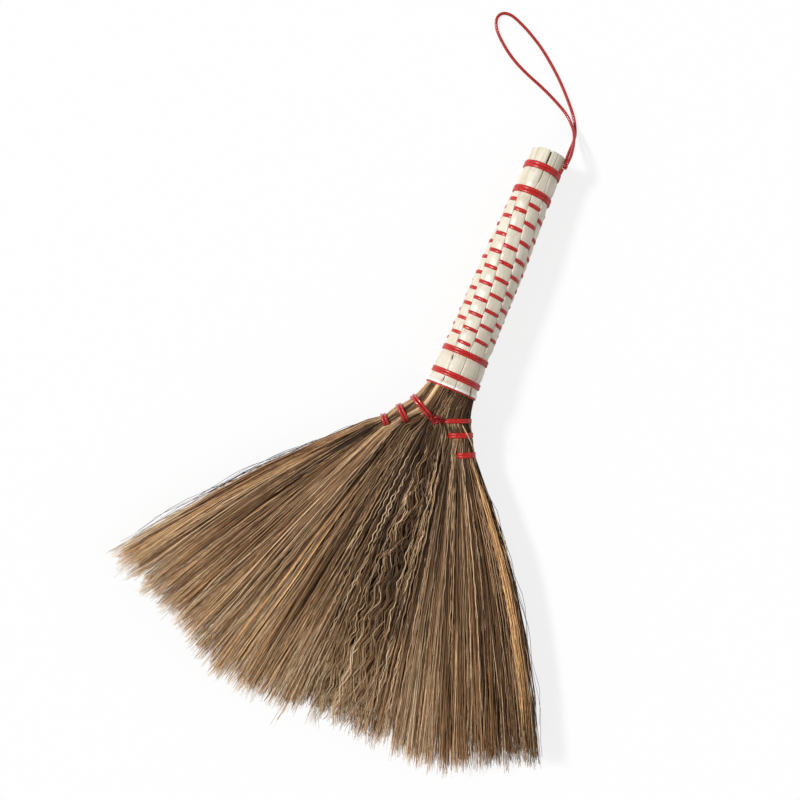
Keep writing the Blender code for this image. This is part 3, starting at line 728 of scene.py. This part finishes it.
def strip_stations(strip):
    """Places from the rim to the top, and the strip's level above the stems there."""
    stations = [(0.0, RIM_LEVEL), (RIM_ROLL, (RIM_LEVEL + UNDER_BAND) / 2)]
    for lower, upper in (("lower_band_lower", "lower_band_upper"), ("top_band_lower", "top_band_upper")):
        if lower == "top_band_lower":
            crossings = range(strip, CROSSINGS, STRIPS)
            stations += [(crossing_place(c), HIGH if c % 2 else LOW) for c in reversed(crossings)]
        first, last = BANDS[lower][0], BANDS[upper][0]
        before, after = band_edge(lower), band_edge(upper)
        skirt = TOP_SKIRT if lower == "top_band_lower" else SKIRT
        stations += [(first - before, UNDER_BAND), (first + before * PRESS_SHARE, UNDER_BAND)]
        stations += [(first + before + SKIRT_EASE, skirt), (last - after - SKIRT_EASE, skirt)]
        stations += [(last - after * PRESS_SHARE, UNDER_BAND), (last + after, UNDER_BAND)]
    stations.append((HANDLE_LENGTH, TOP_LEVEL))
    return sorted(stations)


def make_strip(strip):
    """One flat strip: laid over the cord, pressed down under it, and grained along its length."""
    places, levels = zip(*strip_stations(strip))
    y = np.linspace(0, HANDLE_LENGTH - TOP_CUT, STRIP_ROWS)[:, None]
    across = np.linspace(-1, 1, STRIP_COLUMNS)[None, :]
    inner_across = across[:, ::-3]
    low_side, high_side = strip_edges(strip, y)
    jitter = DICE.uniform(-TOP_JITTER, TOP_JITTER) * MM
    rates = list(zip(
        DICE.uniform(9, 34, GRAINS), DICE.uniform(0, math.tau, GRAINS), DICE.uniform(-60, 60, GRAINS)
    ))

    def skin(across, inside):
        offset = np.where(across < 0, -across * low_side, across * high_side)
        woven = np.clip((y - WEAVE_BOTTOM) / WEAVE_PITCH, 0, 1) * np.clip((WEAVE_TOP - y) / WEAVE_PITCH, 0, 1)
        slanted = y + WEAVE_PITCH * offset / math.tau * woven
        level = eased(slanted, places, levels)
        lift = np.clip((level - LOW) / (HIGH - LOW), 0, 1)
        drop = (EDGE_DROP + PILLOW_DROP * lift * woven) * np.abs(across) ** 4
        radius = stem_radius(y) + level - drop
        if inside:
            return handle_points(y, strip_angle(strip, y) + offset, radius)
        lip = np.clip(1 - y / RIM_ROLL, 0, 1)
        thickness = STRIP_THICKNESS + (RIM_THICKNESS - STRIP_THICKNESS) * np.sqrt(lip) - LIP_ROUND * lip**6
        grain = sum(GRAIN_DEPTH * np.sin(across * rate + phase + y * drift) for rate, phase, drift in rates)
        thinned = thickness * (1 - EDGE_THINNING * np.abs(across) ** 10)
        top = (y > HANDLE_LENGTH - TOP_CUT - 0.1 * MM) * jitter
        return handle_points(y + top, strip_angle(strip, y) + offset, radius + thinned + grain)

    rings = np.concatenate((skin(across, False), skin(inner_across, True)), axis=1)
    sides = rings.shape[1]
    count = rings.shape[0]
    points = rings.reshape(-1, 3)
    caps = end_strips(sides, STRIP_COLUMNS, count)
    tone = np.full(len(points), DICE.uniform(0, 1))
    # The rim's lip, where the material paints a highlight near white
    rim = np.repeat(np.clip(1.25 - y[:, 0] / (0.6 * RIM_ROLL), 0, 1), sides)
    obj = mesh_object(
        f"ivory_strip_{strip + 1}", points, np.concatenate((tube_faces(count, sides), caps)), IVORY, "broom",
        attributes={"tone": tone, "rim": rim},
    )
    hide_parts(f"handle_strip_{strip + 1}")


def end_strips(sides, columns, rows):
    """Quads across both ends of a strip, between its outer row of points and its inner one."""
    quads = []
    inner = sides - columns
    outer = np.linspace(0, columns - 1, inner).round().astype(int)
    for first, step in ((0, -1), ((rows - 1) * sides, 1)):
        for k in range(inner - 1):
            quad = (outer[k], (outer[k] + outer[k + 1]) // 2, sides - 2 - k, sides - 1 - k)
            quads.append([first + corner for corner in quad[::step]])
    return np.array(quads, np.int32)


def strip_edges(strip, y):
    """The angles of a strip's two edges from its middle: seams wander a little, and slits open at some."""
    low_side = np.full_like(y, -STRIP_HALF_ANGLE)
    high_side = np.full_like(y, STRIP_HALF_ANGLE)
    for before, first, last, angle in SEAM_SHIFTS:
        inward = np.minimum(y - first, last - y) / SHIFT_EASE
        shift = angle * np.clip(inward, 0, 1)
        if strip == before:
            high_side += shift
        if strip == before + 1:
            low_side += shift
    for before, first, last, angle in SLITS:
        opening = angle / 2 * np.clip(np.minimum(y - first, last - y) / SLIT_END, 0, 1)
        if strip == before:
            high_side -= opening
        if strip == before + 1:
            low_side += opening
    return low_side, high_side


def outward(points):
    """Directions straight out from the handle's axis at points around it."""
    ways = np.stack((points[:, 0], np.zeros(len(points)), points[:, 2] - axis_height(points[:, 1])), axis=1)
    return unit(ways)


def weave_path():
    """The spiral cord's own line: over every other strip, and under the one between."""
    route = []
    half = MARK_THICKNESS / 2
    for crossing in range(CROSSINGS):
        inside = crossing % 2
        place = crossing_place(crossing)
        level = HIGH - half - UNDER_SINK if inside else LOW + STRIP_THICKNESS + half - OVER_SINK
        dip = UNDER_DIP if inside else OVER_DIP
        for share in (-1, -0.7, 0, 0.7, 1):
            offset = MARK_REACH * share
            angle = strip_angle(crossing, place) + offset
            radius = stem_radius(place) + level + dip * abs(share) ** 3
            route.append(handle_points(place - WEAVE_PITCH * offset / math.tau, angle, radius))
    return smooth_curve(np.array(route), CORD_STEP)


def winding_path(place, turns, pitch, level):
    turn = np.linspace(0, turns, int(turns * 160))
    y = place + pitch * (turns / 2 - turn)
    tuck = np.clip(np.minimum(turn, turns - turn) / TUCK_TURN, 0, 1)
    radius = stem_radius(np.maximum(y, 0)) + level - (1 - tuck) * TUCK_DEPTH
    return handle_points(y, math.pi + math.tau * turn, radius)


def make_handle():
    for strip in range(STRIPS):
        make_strip(strip)
    path = weave_path()
    # The cord's marks grow wider towards the handle's top
    width = np.interp(path[:, 1], (WEAVE_BOTTOM, WEAVE_TOP), MARK_WIDTHS)[:, None]
    laid_cord(
        "woven_cord", path, width, MARK_THICKNESS, CORD_LAY, "broom", outward(path), plies=4, depth=0.1,
        node="weaving_cord",
    )
    for name, (place, pitch, width, thickness) in BANDS.items():
        level = UNDER_BAND + STRIP_THICKNESS + thickness / 2 - BAND_SINK
        path = winding_path(place, BAND_TURNS, pitch, level)
        laid_cord(
            f"{name}_cord", path, width, thickness, CORD_LAY, "broom", outward(path), plies=4, depth=0.1,
            node=name,
        )
    path = winding_path(-0.15 * MM - RIM_THREAD / 2, 0.985, 0, RIM_LEVEL + 0.35 * MM)
    laid_cord(
        "rim_thread", path, RIM_THREAD, RIM_THREAD, CORD_LAY, "broom", outward(path), sides=10,
        node="rim_cord",
    )
    make_tucked_end()
    make_tie()
    make_core()


def make_tucked_end():
    """The lower band's cord end, tucked into the slit at the rim."""
    y = np.linspace(0.6, 5.2, 14) * MM
    angle = strip_angle(5, y) + STRIP_HALF_ANGLE
    path = handle_points(y, angle, stem_radius(y) + np.linspace(1.9, 1.5, 14) * MM)
    laid_cord("tucked_cord_end", path, 1.0 * MM, 0.9 * MM, CORD_LAY, "broom", outward(path), sides=8)


def make_tie():
    """The loop's cord below its knot, held by the upper band."""
    knot = knot_centre()
    band = BANDS["top_band_upper"][0]
    angle = math.atan2(knot[0], knot[2] - axis_height(knot[1]))
    for number, (aside, start) in enumerate(TIES):
        y = np.linspace(knot[1] - start, band - 2.5 * MM, 16)
        lift = np.interp(y, (band - 2 * MM, band + 1.5 * MM, knot[1]), (1.6, 2.2, 2.9)) * MM
        path = handle_points(y, angle + aside, stem_radius(y) + lift)
        laid_cord(f"loop_tie_{number + 1}", path, 1.5 * MM, 1.3 * MM, LOOP_LAY, "broom", sides=10)


def make_core():
    """The stems' cut ends, packed in the top of the handle, and the dark round that they fill below it."""
    y = np.linspace(CORE_DEPTH, HANDLE_LENGTH - TOP_CUT - 0.3 * MM, 60)
    angles = np.linspace(0, math.tau, 2 * CORE_RIBS, endpoint=False)
    reach = stem_radius(y)[:, None] + 0.1 * MM - 0.25 * MM * np.abs(np.sin(angles * CORE_RIBS / 2))[None, :]
    points = handle_points(y[:, None], angles[None, :], reach).reshape(-1, 3)
    faces = tube_faces(len(y), len(angles))
    core = mesh_object("packed_stems", points, faces, STEM, "broom")
    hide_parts("stem_core")
    sides = 10
    around = np.linspace(0, math.tau, sides, endpoint=False)
    ends, quads = [], []
    ring = stem_radius(HANDLE_LENGTH) - 0.1 * MM
    for k in range(STEM_ENDS):
        # Even packing of round stems over the handle's section
        radius = ring * math.sqrt((k + 0.5) / STEM_ENDS)
        turn = k * math.pi * (3 - math.sqrt(5))
        size = STEM_END_RADIUS * DICE.uniform(0.8, 1.1)
        top = HANDLE_LENGTH - TOP_CUT - DICE.uniform(0.5, 1.6) * MM
        centre_x, centre_z = radius * math.sin(turn), radius * math.cos(turn)
        for depth, share in STEM_END_RINGS:
            y_ring = top - depth
            x = centre_x + size * share * np.cos(around)
            z = axis_height(y_ring) + centre_z + size * share * np.sin(around)
            ends.append(np.stack((x, np.full(sides, y_ring), z), axis=1))
        quads.append(tube_faces(len(STEM_END_RINGS), sides) + k * len(STEM_END_RINGS) * sides)
    stems = mesh_object("stem_ends", np.concatenate(ends), np.concatenate(quads), STEM, "broom")


# The neck and the fan


def reach_at(angle):
    return np.interp(np.degrees(angle), OUTLINE_ANGLES, OUTLINE_REACHES)


def curve_through(controls, rings):
    """Smooth curves through (strands, controls, 3) points, as (strands, rings, 3)."""
    count = controls.shape[1]
    first = 2 * controls[:, :1] - controls[:, 1:2]
    last = 2 * controls[:, -1:] - controls[:, -2:-1]
    padded = np.concatenate((first, controls, last), axis=1)
    places = np.linspace(0, count - 1, rings)
    index = np.minimum(places.astype(int), count - 2)
    t = (places - index)[None, :, None]
    return spline(*(padded[:, index + k] for k in range(4)), t)


def binding_ends(side, number):
    return tuple(np.array(end) * MM for end in BINDINGS[side][number])


def binding_way(side, number):
    """The way that the bristles take through a binding, in plan."""
    outer, inner = binding_ends(side, number)
    across = (inner - outer) / np.linalg.norm(inner - outer)
    way = np.array((across[1], -across[0]))
    return way if way[1] < 0 else -way


def fan_line(side, share, tip_angle):
    """Plan points of a line of the fan: out of the handle, through three bindings' places, and to its tip."""
    sign = -1 if side == "left" else 1
    points = []
    for y, half, _ in NECK_STATIONS:
        points.append(np.array((sign * (half + (CENTRE_HALF_WIDTH - half) * share), y)))
    angle = math.radians(tip_angle)
    tip = reach_at(angle) * np.array((math.sin(angle), -math.cos(angle)))
    for number, held in enumerate(HELD[side]):
        outer, inner = binding_ends(side, number)
        way = binding_way(side, number)
        for run in (-BINDING_RUN, BINDING_RUN):
            if share <= held:
                points.append(outer + (inner - outer) * share / held + way * run)
            else:
                # Free of this binding: straight on towards the tip, level with the binding's inner end
                start = np.linalg.norm(free)
                along = (np.linalg.norm(inner + way * run) - start) / (np.linalg.norm(tip) - start)
                points.append(free + (tip - free) * max(along, 0.004))
        if share <= held:
            free = points[-1]
    last = points[-1]
    ahead = tip - last
    aside = np.array((ahead[1], -ahead[0])) / np.linalg.norm(ahead)
    aside *= sign * math.copysign(1, aside[0])
    bow = BOW[side] if share == 0 else 0
    for along in FREE_STATIONS:
        points.append(last + ahead * along + aside * bow * math.sin(math.pi * along))
    return np.array(points)


def heights(side, share):
    """Middle heights and half thicknesses of the fan at a line's points, for shares of a side's width."""
    n = len(share)
    centres, halves = [], []
    x = 15 * MM * (1 - share)
    for y, _, radius in NECK_STATIONS:
        centres.append(np.full(n, float(axis_height(y))))
        halves.append(np.sqrt(np.clip(radius**2 - (x * radius / (15.4 * MM)) ** 2, (1.5 * MM) ** 2, None)))
    free_centre = np.zeros(n)
    free_half = np.zeros(n)
    for number, held in enumerate(HELD[side]):
        place = np.clip(np.abs(2 * share / held - 1), 0, 0.985)
        centre = np.full(n, BINDING_CENTRES[number])
        half = BINDING_HALF_HEIGHTS[number] * (1 - place**BINDING_ROUNDNESS) ** (1 / BINDING_ROUNDNESS)
        if number == 0:
            # Beside the middle bundle the fan stays thick
            half = np.where(share > 0.8, np.maximum(half, 7 * MM), half)
        inside = share <= held + 1e-6
        # Once free, the bristles spread over the fan's whole thickness
        centre = np.where(inside, centre, free_centre * 0.75 + FAN_THICKNESS / 2 * 0.25)
        half = np.where(inside, half, np.clip(free_half * 1.04, None, 7.6 * MM))
        free_centre, free_half = centre, half
        centres += [centre, centre]
        halves += [half, half]
    for along in FREE_STATIONS:
        eased_along = math.sin(math.pi / 2 * min(along * 1.3, 1))
        centres.append(free_centre + (FAN_THICKNESS / 2 - free_centre) * eased_along)
        fullness = FAN_THICKNESS / 2 - 0.4 * MM
        halves.append(free_half + (fullness - free_half) * min(along * 3.2, 1))
    return np.stack(centres, axis=1), np.stack(halves, axis=1)


def sheet(index, across, height):
    """Routes in the bundle right of a line of the fan: at shares across it, and heights from -1 to 1."""
    left, right = FAN_LINES[index], FAN_LINES[index + 1]
    start, end = fan_line(*left), fan_line(*right)
    plan = start[None] + (end - start)[None] * across[:, None, None]
    if left[0] == right[0]:
        share = left[1] + (right[1] - left[1]) * across
        centres, halves = heights(left[0], share)
    else:
        ones = np.ones(len(across))
        centres, halves = heights("left", ones)
    return np.concatenate((plan, (centres + halves * height[:, None])[..., None]), axis=2)


def reach_share(angle):
    """How far the tips reach, as a share of the outline: tufts and notches along the frayed edge."""
    degrees = np.degrees(angle)
    tufts = np.interp(degrees, TUFT_ANGLES, TUFT_REACHES)
    return 1 - TUFT_DEPTH * (1 - tufts)


def strands_mesh(name, paths, widths, tones, warmth, node=None):
    """Three-sided strands along paths (strands, rings, 3), with a width and a tone at each ring."""
    ways = unit(np.gradient(paths, axis=1))
    side = unit(np.cross(ways, (0, 0, 1)))
    up = np.cross(side, ways)
    spin = DICE.uniform(0, math.tau, len(paths))[:, None]
    rings = []
    for corner in range(3):
        angle = spin + math.tau * corner / 3
        offset = side * np.cos(angle)[..., None] + up * np.sin(angle)[..., None]
        rings.append(paths + offset * widths[..., None] / 2)
    points = np.stack(rings, axis=2)
    points[..., 2] = np.maximum(points[..., 2], FLOOR_GAP)
    count, length = paths.shape[:2]
    faces = tube_faces(length, 3)
    faces = (faces[None] + (np.arange(count) * length * 3)[:, None, None]).reshape(-1, 4)
    tone = np.repeat((tones[..., None] - TONE_LOWEST) / (1 - TONE_LOWEST), 3, axis=2)
    warm = np.repeat(np.repeat(warmth[:, None], length, axis=1)[..., None], 3, axis=2)
    obj = mesh_object(
        name, points.reshape(-1, 3), faces, BRISTLE, "broom", attributes={"tone": tone, "warm": warm}
    )
    if node:
        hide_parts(node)
    return obj


def bend(paths, swing, wavelength, phase, start=0.0, rise=12 * MM):
    """Bends strands to and fro in plan, in slightly angular waves that rise from the start."""
    lengths = strand_lengths(paths)
    aside = unit(np.cross(np.gradient(paths, axis=1), (0, 0, 1)))
    turn = math.tau * lengths / wavelength[:, None] + phase[:, None]
    wave = swing[:, None] * (np.sin(turn) - 0.08 * np.sin(3 * turn))
    wave = wave * np.clip((lengths - start) / rise, 0, 1)
    paths += aside * wave[..., None]
    paths[..., 2] += 0.3 * swing[:, None] * np.cos(turn * 0.63)


def shared(group, common, own):
    """Random offsets: what a group's strands have in common, plus each one's own, by their spreads."""
    return DICE.normal(0, common, group.max() + 1)[group] + DICE.normal(0, own, len(group))


def crimp(paths, degrees, group):
    """The coarse crimp of the fan's middle, which neighbouring strands share."""
    strength = np.exp(-(((degrees - CRIMP_ANGLE) / CRIMP_BREADTH) ** 2))
    groups = group.max() + 1
    phase = degrees * CRIMP_DRIFT + shared(group, 0.38, 0.12)
    wavelength = CRIMP_WAVE * (1 + DICE.normal(0, 0.03, groups)[group])
    swing = CRIMP_SWING * strength * DICE.uniform(0.45, 1.05, groups)[group]
    bend(paths, swing, wavelength, phase, CRIMP_START, CRIMP_RISE)


def evened(paths, rings):
    """The same routes with points at even steps along them."""
    out = []
    for path in paths:
        lengths = lengths_along(path)
        out.append(points_at(np.linspace(0, lengths[-1], rings), lengths, path))
    return np.array(out)


def tone_and_shade_at(degrees, paths):
    """How light strands are at each of their rings, painted shade and light included, by the table over the
    fan's breadth and reach.
    """
    reach = np.hypot(paths[..., 0], paths[..., 1])
    rows = np.array([np.interp(degrees, TONE_ANGLES, levels) for levels in TONE_AND_SHADE_LEVELS])
    place = np.interp(reach, TONE_REACHES, np.arange(len(TONE_REACHES)))
    row = np.minimum(place.astype(int), len(TONE_REACHES) - 2)
    column = np.broadcast_to(np.arange(len(degrees))[:, None], row.shape)
    share = place - row
    return rows[row, column] * (1 - share) + rows[row + 1, column] * share


def make_bundle(name, index, on_top, within, painted_root_light):
    first_angle, last_angle = (math.radians(FAN_LINES[index + k][2]) for k in (0, 1))
    parts = []
    for count, top in ((on_top, True), (within, False)):
        wisps = max(count // WISP_SIZE, 1)
        wisp = np.repeat(np.arange(wisps), WISP_SIZE)
        n = len(wisp)
        crimped = top and index in (3, 4)
        wisp_across = (DICE.permutation(wisps) + DICE.uniform(0, 1, wisps)) / wisps
        if crimped:
            # Neighbouring wisps crimp alike
            wisp_across = np.sort(wisp_across)
        wisp_height = DICE.uniform(0.25, 1, wisps) if top else DICE.uniform(-1, 0.45, wisps)
        across = np.abs(wisp_across[wisp] + DICE.normal(0, WISP_SPREAD, n))
        across = 1 - np.abs(1 - across)
        height = np.clip(wisp_height[wisp] + DICE.normal(0, 0.06, n), -1, 1)
        controls = sheet(index, across, height)
        angle = first_angle + (last_angle - first_angle) * across
        first_limit, last_limit = FAN_LIMITS
        limited = first_limit + np.abs(angle + shared(wisp, *SWAY) - first_limit)
        limited = last_limit - np.abs(last_limit - limited)
        sway = limited - angle
        fray = np.abs(DICE.normal(0, 0.032, wisps))[wisp] + np.abs(DICE.normal(0, 0.02, n))
        short = reach_share(limited) - fray
        short += 0.008 if top else -0.006
        short -= np.where(DICE.uniform(0, 1, n) < 0.14, DICE.uniform(0, 0.2, n), 0)
        short = np.clip(short * reach_at(limited) / reach_at(angle), 0.5, 1.04)
        free = len(controls[0]) - len(FREE_STATIONS) - 1
        root = controls[:, free].copy()
        for k, along in enumerate(FREE_STATIONS):
            point = controls[:, free + 1 + k]
            step = (point - root) * short[:, None]
            turn = sway * along**1.3
            cos, sin = np.cos(turn), np.sin(turn)
            x, y = step[:, 0], step[:, 1]
            plan = np.stack((x * cos - y * sin, x * sin + y * cos), axis=1)
            point[:, :2] = root[:, :2] + plan
            wander = DICE.normal(0, 0.5 * MM, (wisps, 3))[wisp] * (1 + along)
            wander += DICE.normal(0, 0.35 * MM, (n, 3))
            point += wander * (1, 1, 0.6)
        if not top:
            # Hidden under others near the handle, these start a little above their last binding
            controls = controls[:, free - 2:]
        rings = CRIMPED_RINGS if crimped else TOP_RINGS if top else UNDER_RINGS
        paths = curve_through(controls, 3 * rings if crimped else rings)
        if crimped:
            paths = evened(paths, rings)
            crimp(paths, np.degrees(limited), wisp // 2)
        lengths = strand_lengths(paths)
        share = lengths / lengths[:, -1:]
        thick = DICE.lognormal(math.log(0.54 if top else 0.75), 0.3, n)[:, None] * MM
        widths = thick * np.interp(share, (0, 0.15, 0.75, 1), (0.75, 1.0, 0.85, 0.34))
        degrees = np.degrees(limited)
        light = DICE.uniform(0, 1, n) < (0.07 if crimped else 0.14)
        spread = 0.6 if crimped else 1.0
        own = spread * shared(wisp, *TONE_SPREADS) + np.where(light, 0.3, 0)
        near_root = np.clip(1 - lengths / ROOT_REACH, 0, 1) if top else 0
        # Near the rim the stems are alike. Strands lying higher are painted lighter and lower ones darker, as
        # painted shade
        tone = tone_and_shade_at(degrees, paths) + 0.14 * height[:, None] + own[:, None] * (1 - 0.8 * near_root)
        # Painted shade: strands within the fan are darker than those on top
        tone += 0.26 if top else 0
        # Painted light near the root, by the bundle
        tones = np.clip(tone + painted_root_light * near_root, TONE_LOWEST, 1)
        warmth = DICE.normal(0.5, 0.22, wisps)[wisp]
        for middle, breadth, amount in WARM_PARTS:
            warmth += amount * np.exp(-(((degrees - middle) / breadth) ** 2))
        parts.append((paths, widths, tones, np.clip(warmth, 0, 1)))
    strands_mesh(f"{name}_fibres", *parts[0], name)
    strands_mesh(f"{name}_under", *parts[1])


def part_of(fine, start, stop, rings):
    """Stretches of finely drawn routes, from start to stop (shares of their points)."""
    count = fine.shape[1]
    rows = (start[:, None] + (stop - start)[:, None] * np.linspace(0, 1, rings)) * (count - 1)
    return np.stack([points_at(row, np.arange(count), path) for row, path in zip(rows, fine)])


def line_angles(index, across):
    first, last = FAN_LINES[index][2], FAN_LINES[index + 1][2]
    return first + (last - first) * across


def bend_at_random(paths, swings, wavelengths, scale=1.0, rise=12 * MM):
    """Bends strands by swings and in wavelengths from two ranges in mm."""
    n = len(paths)
    swing = DICE.uniform(*swings, n) * scale * MM
    wavelength = DICE.uniform(*wavelengths, n) * MM
    bend(paths, swing, wavelength, DICE.uniform(0, math.tau, n), rise=rise)


def lay_loose(name, paths, width_range, taper, tone_range, warmth, lighter=0.0):
    """Single strands, their widths (in mm), tones and, where it is a range, warmth drawn at random."""
    n, rings = paths.shape[:2]
    widths = DICE.uniform(*width_range, n)[:, None] * MM * taper
    tones = np.repeat(DICE.uniform(*tone_range, n)[:, None], rings, axis=1) + lighter
    warmths = DICE.uniform(*warmth, n) if isinstance(warmth, tuple) else np.full(n, warmth)
    strands_mesh(name, paths, widths, tones, warmths)


def pointed(rings):
    """The widths along a strand with thin ends, as shares of its full width."""
    return np.interp(np.linspace(0, 1, rings), (0, 0.1, 0.8, 1), (0.3, 1, 0.9, 0.3))


def make_pale_strands():
    """Pale single strands on top of the fan, golden ones at its right."""
    for number, (index, first, last, n, swing, warmth) in enumerate(ACCENTS):
        fine = curve_through(sheet(index, DICE.uniform(first, last, n), DICE.uniform(0.88, 1.0, n)), 160)
        golden = warmth == 1.0
        start = DICE.uniform(0.55, 0.72, n) if golden else DICE.uniform(0.1, 0.75, n)
        stop = np.clip(start + DICE.uniform(0.2, 0.6, n), None, DICE.uniform(0.94, 1.0, n))
        paths = part_of(fine, start, stop, ACCENT_RINGS)
        paths[..., 0] += DICE.normal(0, 1.0 * MM, (n, 1)) * np.linspace(0, 1, ACCENT_RINGS)
        bend_at_random(paths, (0.3, 1.0), (10, 26), scale=swing)
        paths[..., 2] += 0.3 * MM
        lay_loose(
            f"pale_strands_{number + 1}", paths, (0.34, 0.6), pointed(ACCENT_RINGS), (0.6, 0.95), warmth,
            lighter=0.1 if golden else 0.0,
        )


def make_crinkled_fibres():
    """Crimped pale fibres on the fan's middle."""
    for index, first, last, n in CRINKLED:
        across = np.sort(DICE.uniform(first, last, n))
        fine = evened(curve_through(sheet(index, across, DICE.uniform(0.9, 1.02, n)), 300), 200)
        crimp(fine, line_angles(index, across), np.arange(n) // 4)
        bend_at_random(fine, (0.1, 0.5), (5, 9))
        start = DICE.uniform(0.2, 0.85, n)
        stop = np.minimum(start + DICE.uniform(0.05, 0.2, n), 0.98)
        paths = part_of(fine, start, stop, CRINKLED_RINGS)
        paths[..., 2] += 0.6 * MM
        lay_loose(
            f"crinkled_fibres_{index}", paths, (0.34, 0.66), pointed(CRINKLED_RINGS), (0.4, 1.0), (0.2, 0.7)
        )


def make_neck_fibres():
    """Pale fibres between the rim and the neck's knot, which fan out a little towards it."""
    n = NECK_FIBRES
    for index in (3, 4):
        fine = curve_through(sheet(index, DICE.uniform(0, 1, n), DICE.uniform(0.95, 1.04, n)), 200)
        start = DICE.uniform(0.14, 0.24, n)
        stop = start + DICE.uniform(0.06, 0.16, n)
        paths = part_of(fine, start, stop, NECK_RINGS)
        bend_at_random(paths, (0.1, 0.3), (6, 10), rise=2 * MM)
        lean = DICE.uniform(0, 3.4, n)[:, None] * MM * np.linspace(0, 1, NECK_RINGS)
        paths[..., 0] += lean - 0.6 * MM
        paths[..., 2] += 0.3 * MM
        lay_loose(f"neck_fibres_{index}", paths, (0.26, 0.42), np.ones(NECK_RINGS), (0.45, 0.95), 0.5)


def make_edge_hairs():
    """Fine hairs that stray past the fan's two edges."""
    for index, away, n in EDGE_HAIRS:
        across = DICE.uniform(0, 1, n) ** 1.5 * away
        across = across if index == 0 else 1 - across
        controls = sheet(index, across, DICE.uniform(-0.7, 0.8, n))
        start = DICE.uniform(0.6, 0.78, n)
        stop = DICE.uniform(0.84, 1.0, n)
        paths = part_of(curve_through(controls, 120), start, stop, HAIR_RINGS)
        bend_at_random(paths, (0.6, 1.6), (36, 80))
        taper = 1 - 0.4 * np.linspace(0, 1, HAIR_RINGS)
        lay_loose(f"edge_hairs_{index}", paths, (0.28, 0.42), taper, (-0.2, 0.35), 0.5)


def make_stray_straw():
    straw = smooth_curve(STRAY_STRAW, 1.5 * MM)[None]
    shape = straw.shape[:2]
    strands_mesh("stray_straw", straw, np.full(shape, 0.6 * MM), np.ones(shape), np.array((0.6,)))


def binding_path(side, number):
    outer, inner = binding_ends(side, number)
    pitch, width, thickness = BINDING_LOOKS[side][number]
    middle = np.array((*(outer + inner) / 2, BINDING_CENTRES[number]))
    across = np.array((*(inner - outer) / np.linalg.norm(inner - outer), 0))
    way = np.array((*binding_way(side, number), 0))
    half_width = np.linalg.norm(inner - outer) / 2 + 0.1 * MM + thickness / 2
    half_height = BINDING_HALF_HEIGHTS[number] + 0.1 * MM + thickness / 2
    turn = np.linspace(0, BINDING_TURNS, BINDING_TURNS * 90 + 1)
    angle = -math.pi / 2 + math.tau * turn
    power = 2 / BINDING_ROUNDNESS
    wide = np.sign(np.cos(angle)) * np.abs(np.cos(angle)) ** power
    high = np.sign(np.sin(angle)) * np.abs(np.sin(angle)) ** power
    along = pitch * (turn - BINDING_TURNS / 2)
    points = middle + across * (half_width * wide)[:, None] + way * along[:, None]
    points[:, 2] += half_height * high
    path = smooth_curve(points[::3], CORD_STEP)
    ups = path - middle
    ups -= way * (ups @ way)[:, None]
    return path, unit(ups), width, thickness


def make_neck():
    for side in BINDINGS:
        for number in range(len(BINDINGS[side])):
            name = f"{side}_binding_{number + 1}"
            path, ups, width, thickness = binding_path(side, number)
            laid_cord(
                f"{name}_cord", path, width, thickness, CORD_LAY, "broom", ups, depth=0.09,
                material=GLOSSY if side == "left" else RED, node=name,
            )
    low, high = node_box("centre_knot")
    centre = (low + high) / 2 - ORIGIN + NECK_KNOT_SHIFT
    size = (high - low) / 2 * (1.15, 1.15, 0.8)
    path = knot_path(centre, size, 0.3)
    # The neck's knot in the darkened cord, which is painted shade
    laid_cord("neck_knot", path, 1.8 * MM, 1.8 * MM, CORD_LAY, "broom", material=SHADED_RED, node="centre_knot")


def make_fan():
    for bundle in BUNDLES:
        make_bundle(*bundle)
    make_pale_strands()
    make_crinkled_fibres()
    make_neck_fibres()
    make_edge_hairs()
    make_stray_straw()


make_stage()
make_loop()
make_handle()
make_neck()
make_fan()

# What the CAD model still shows, until its own piece replaces it
for name, node in frame["nodes"].items():
    node.data.materials.clear()
    looks = [look for part, look in (("strip", IVORY), ("stem", STEM), ("bristles", BRISTLE)) if part in name]
    node.data.materials.append(looks[0] if looks else RED)
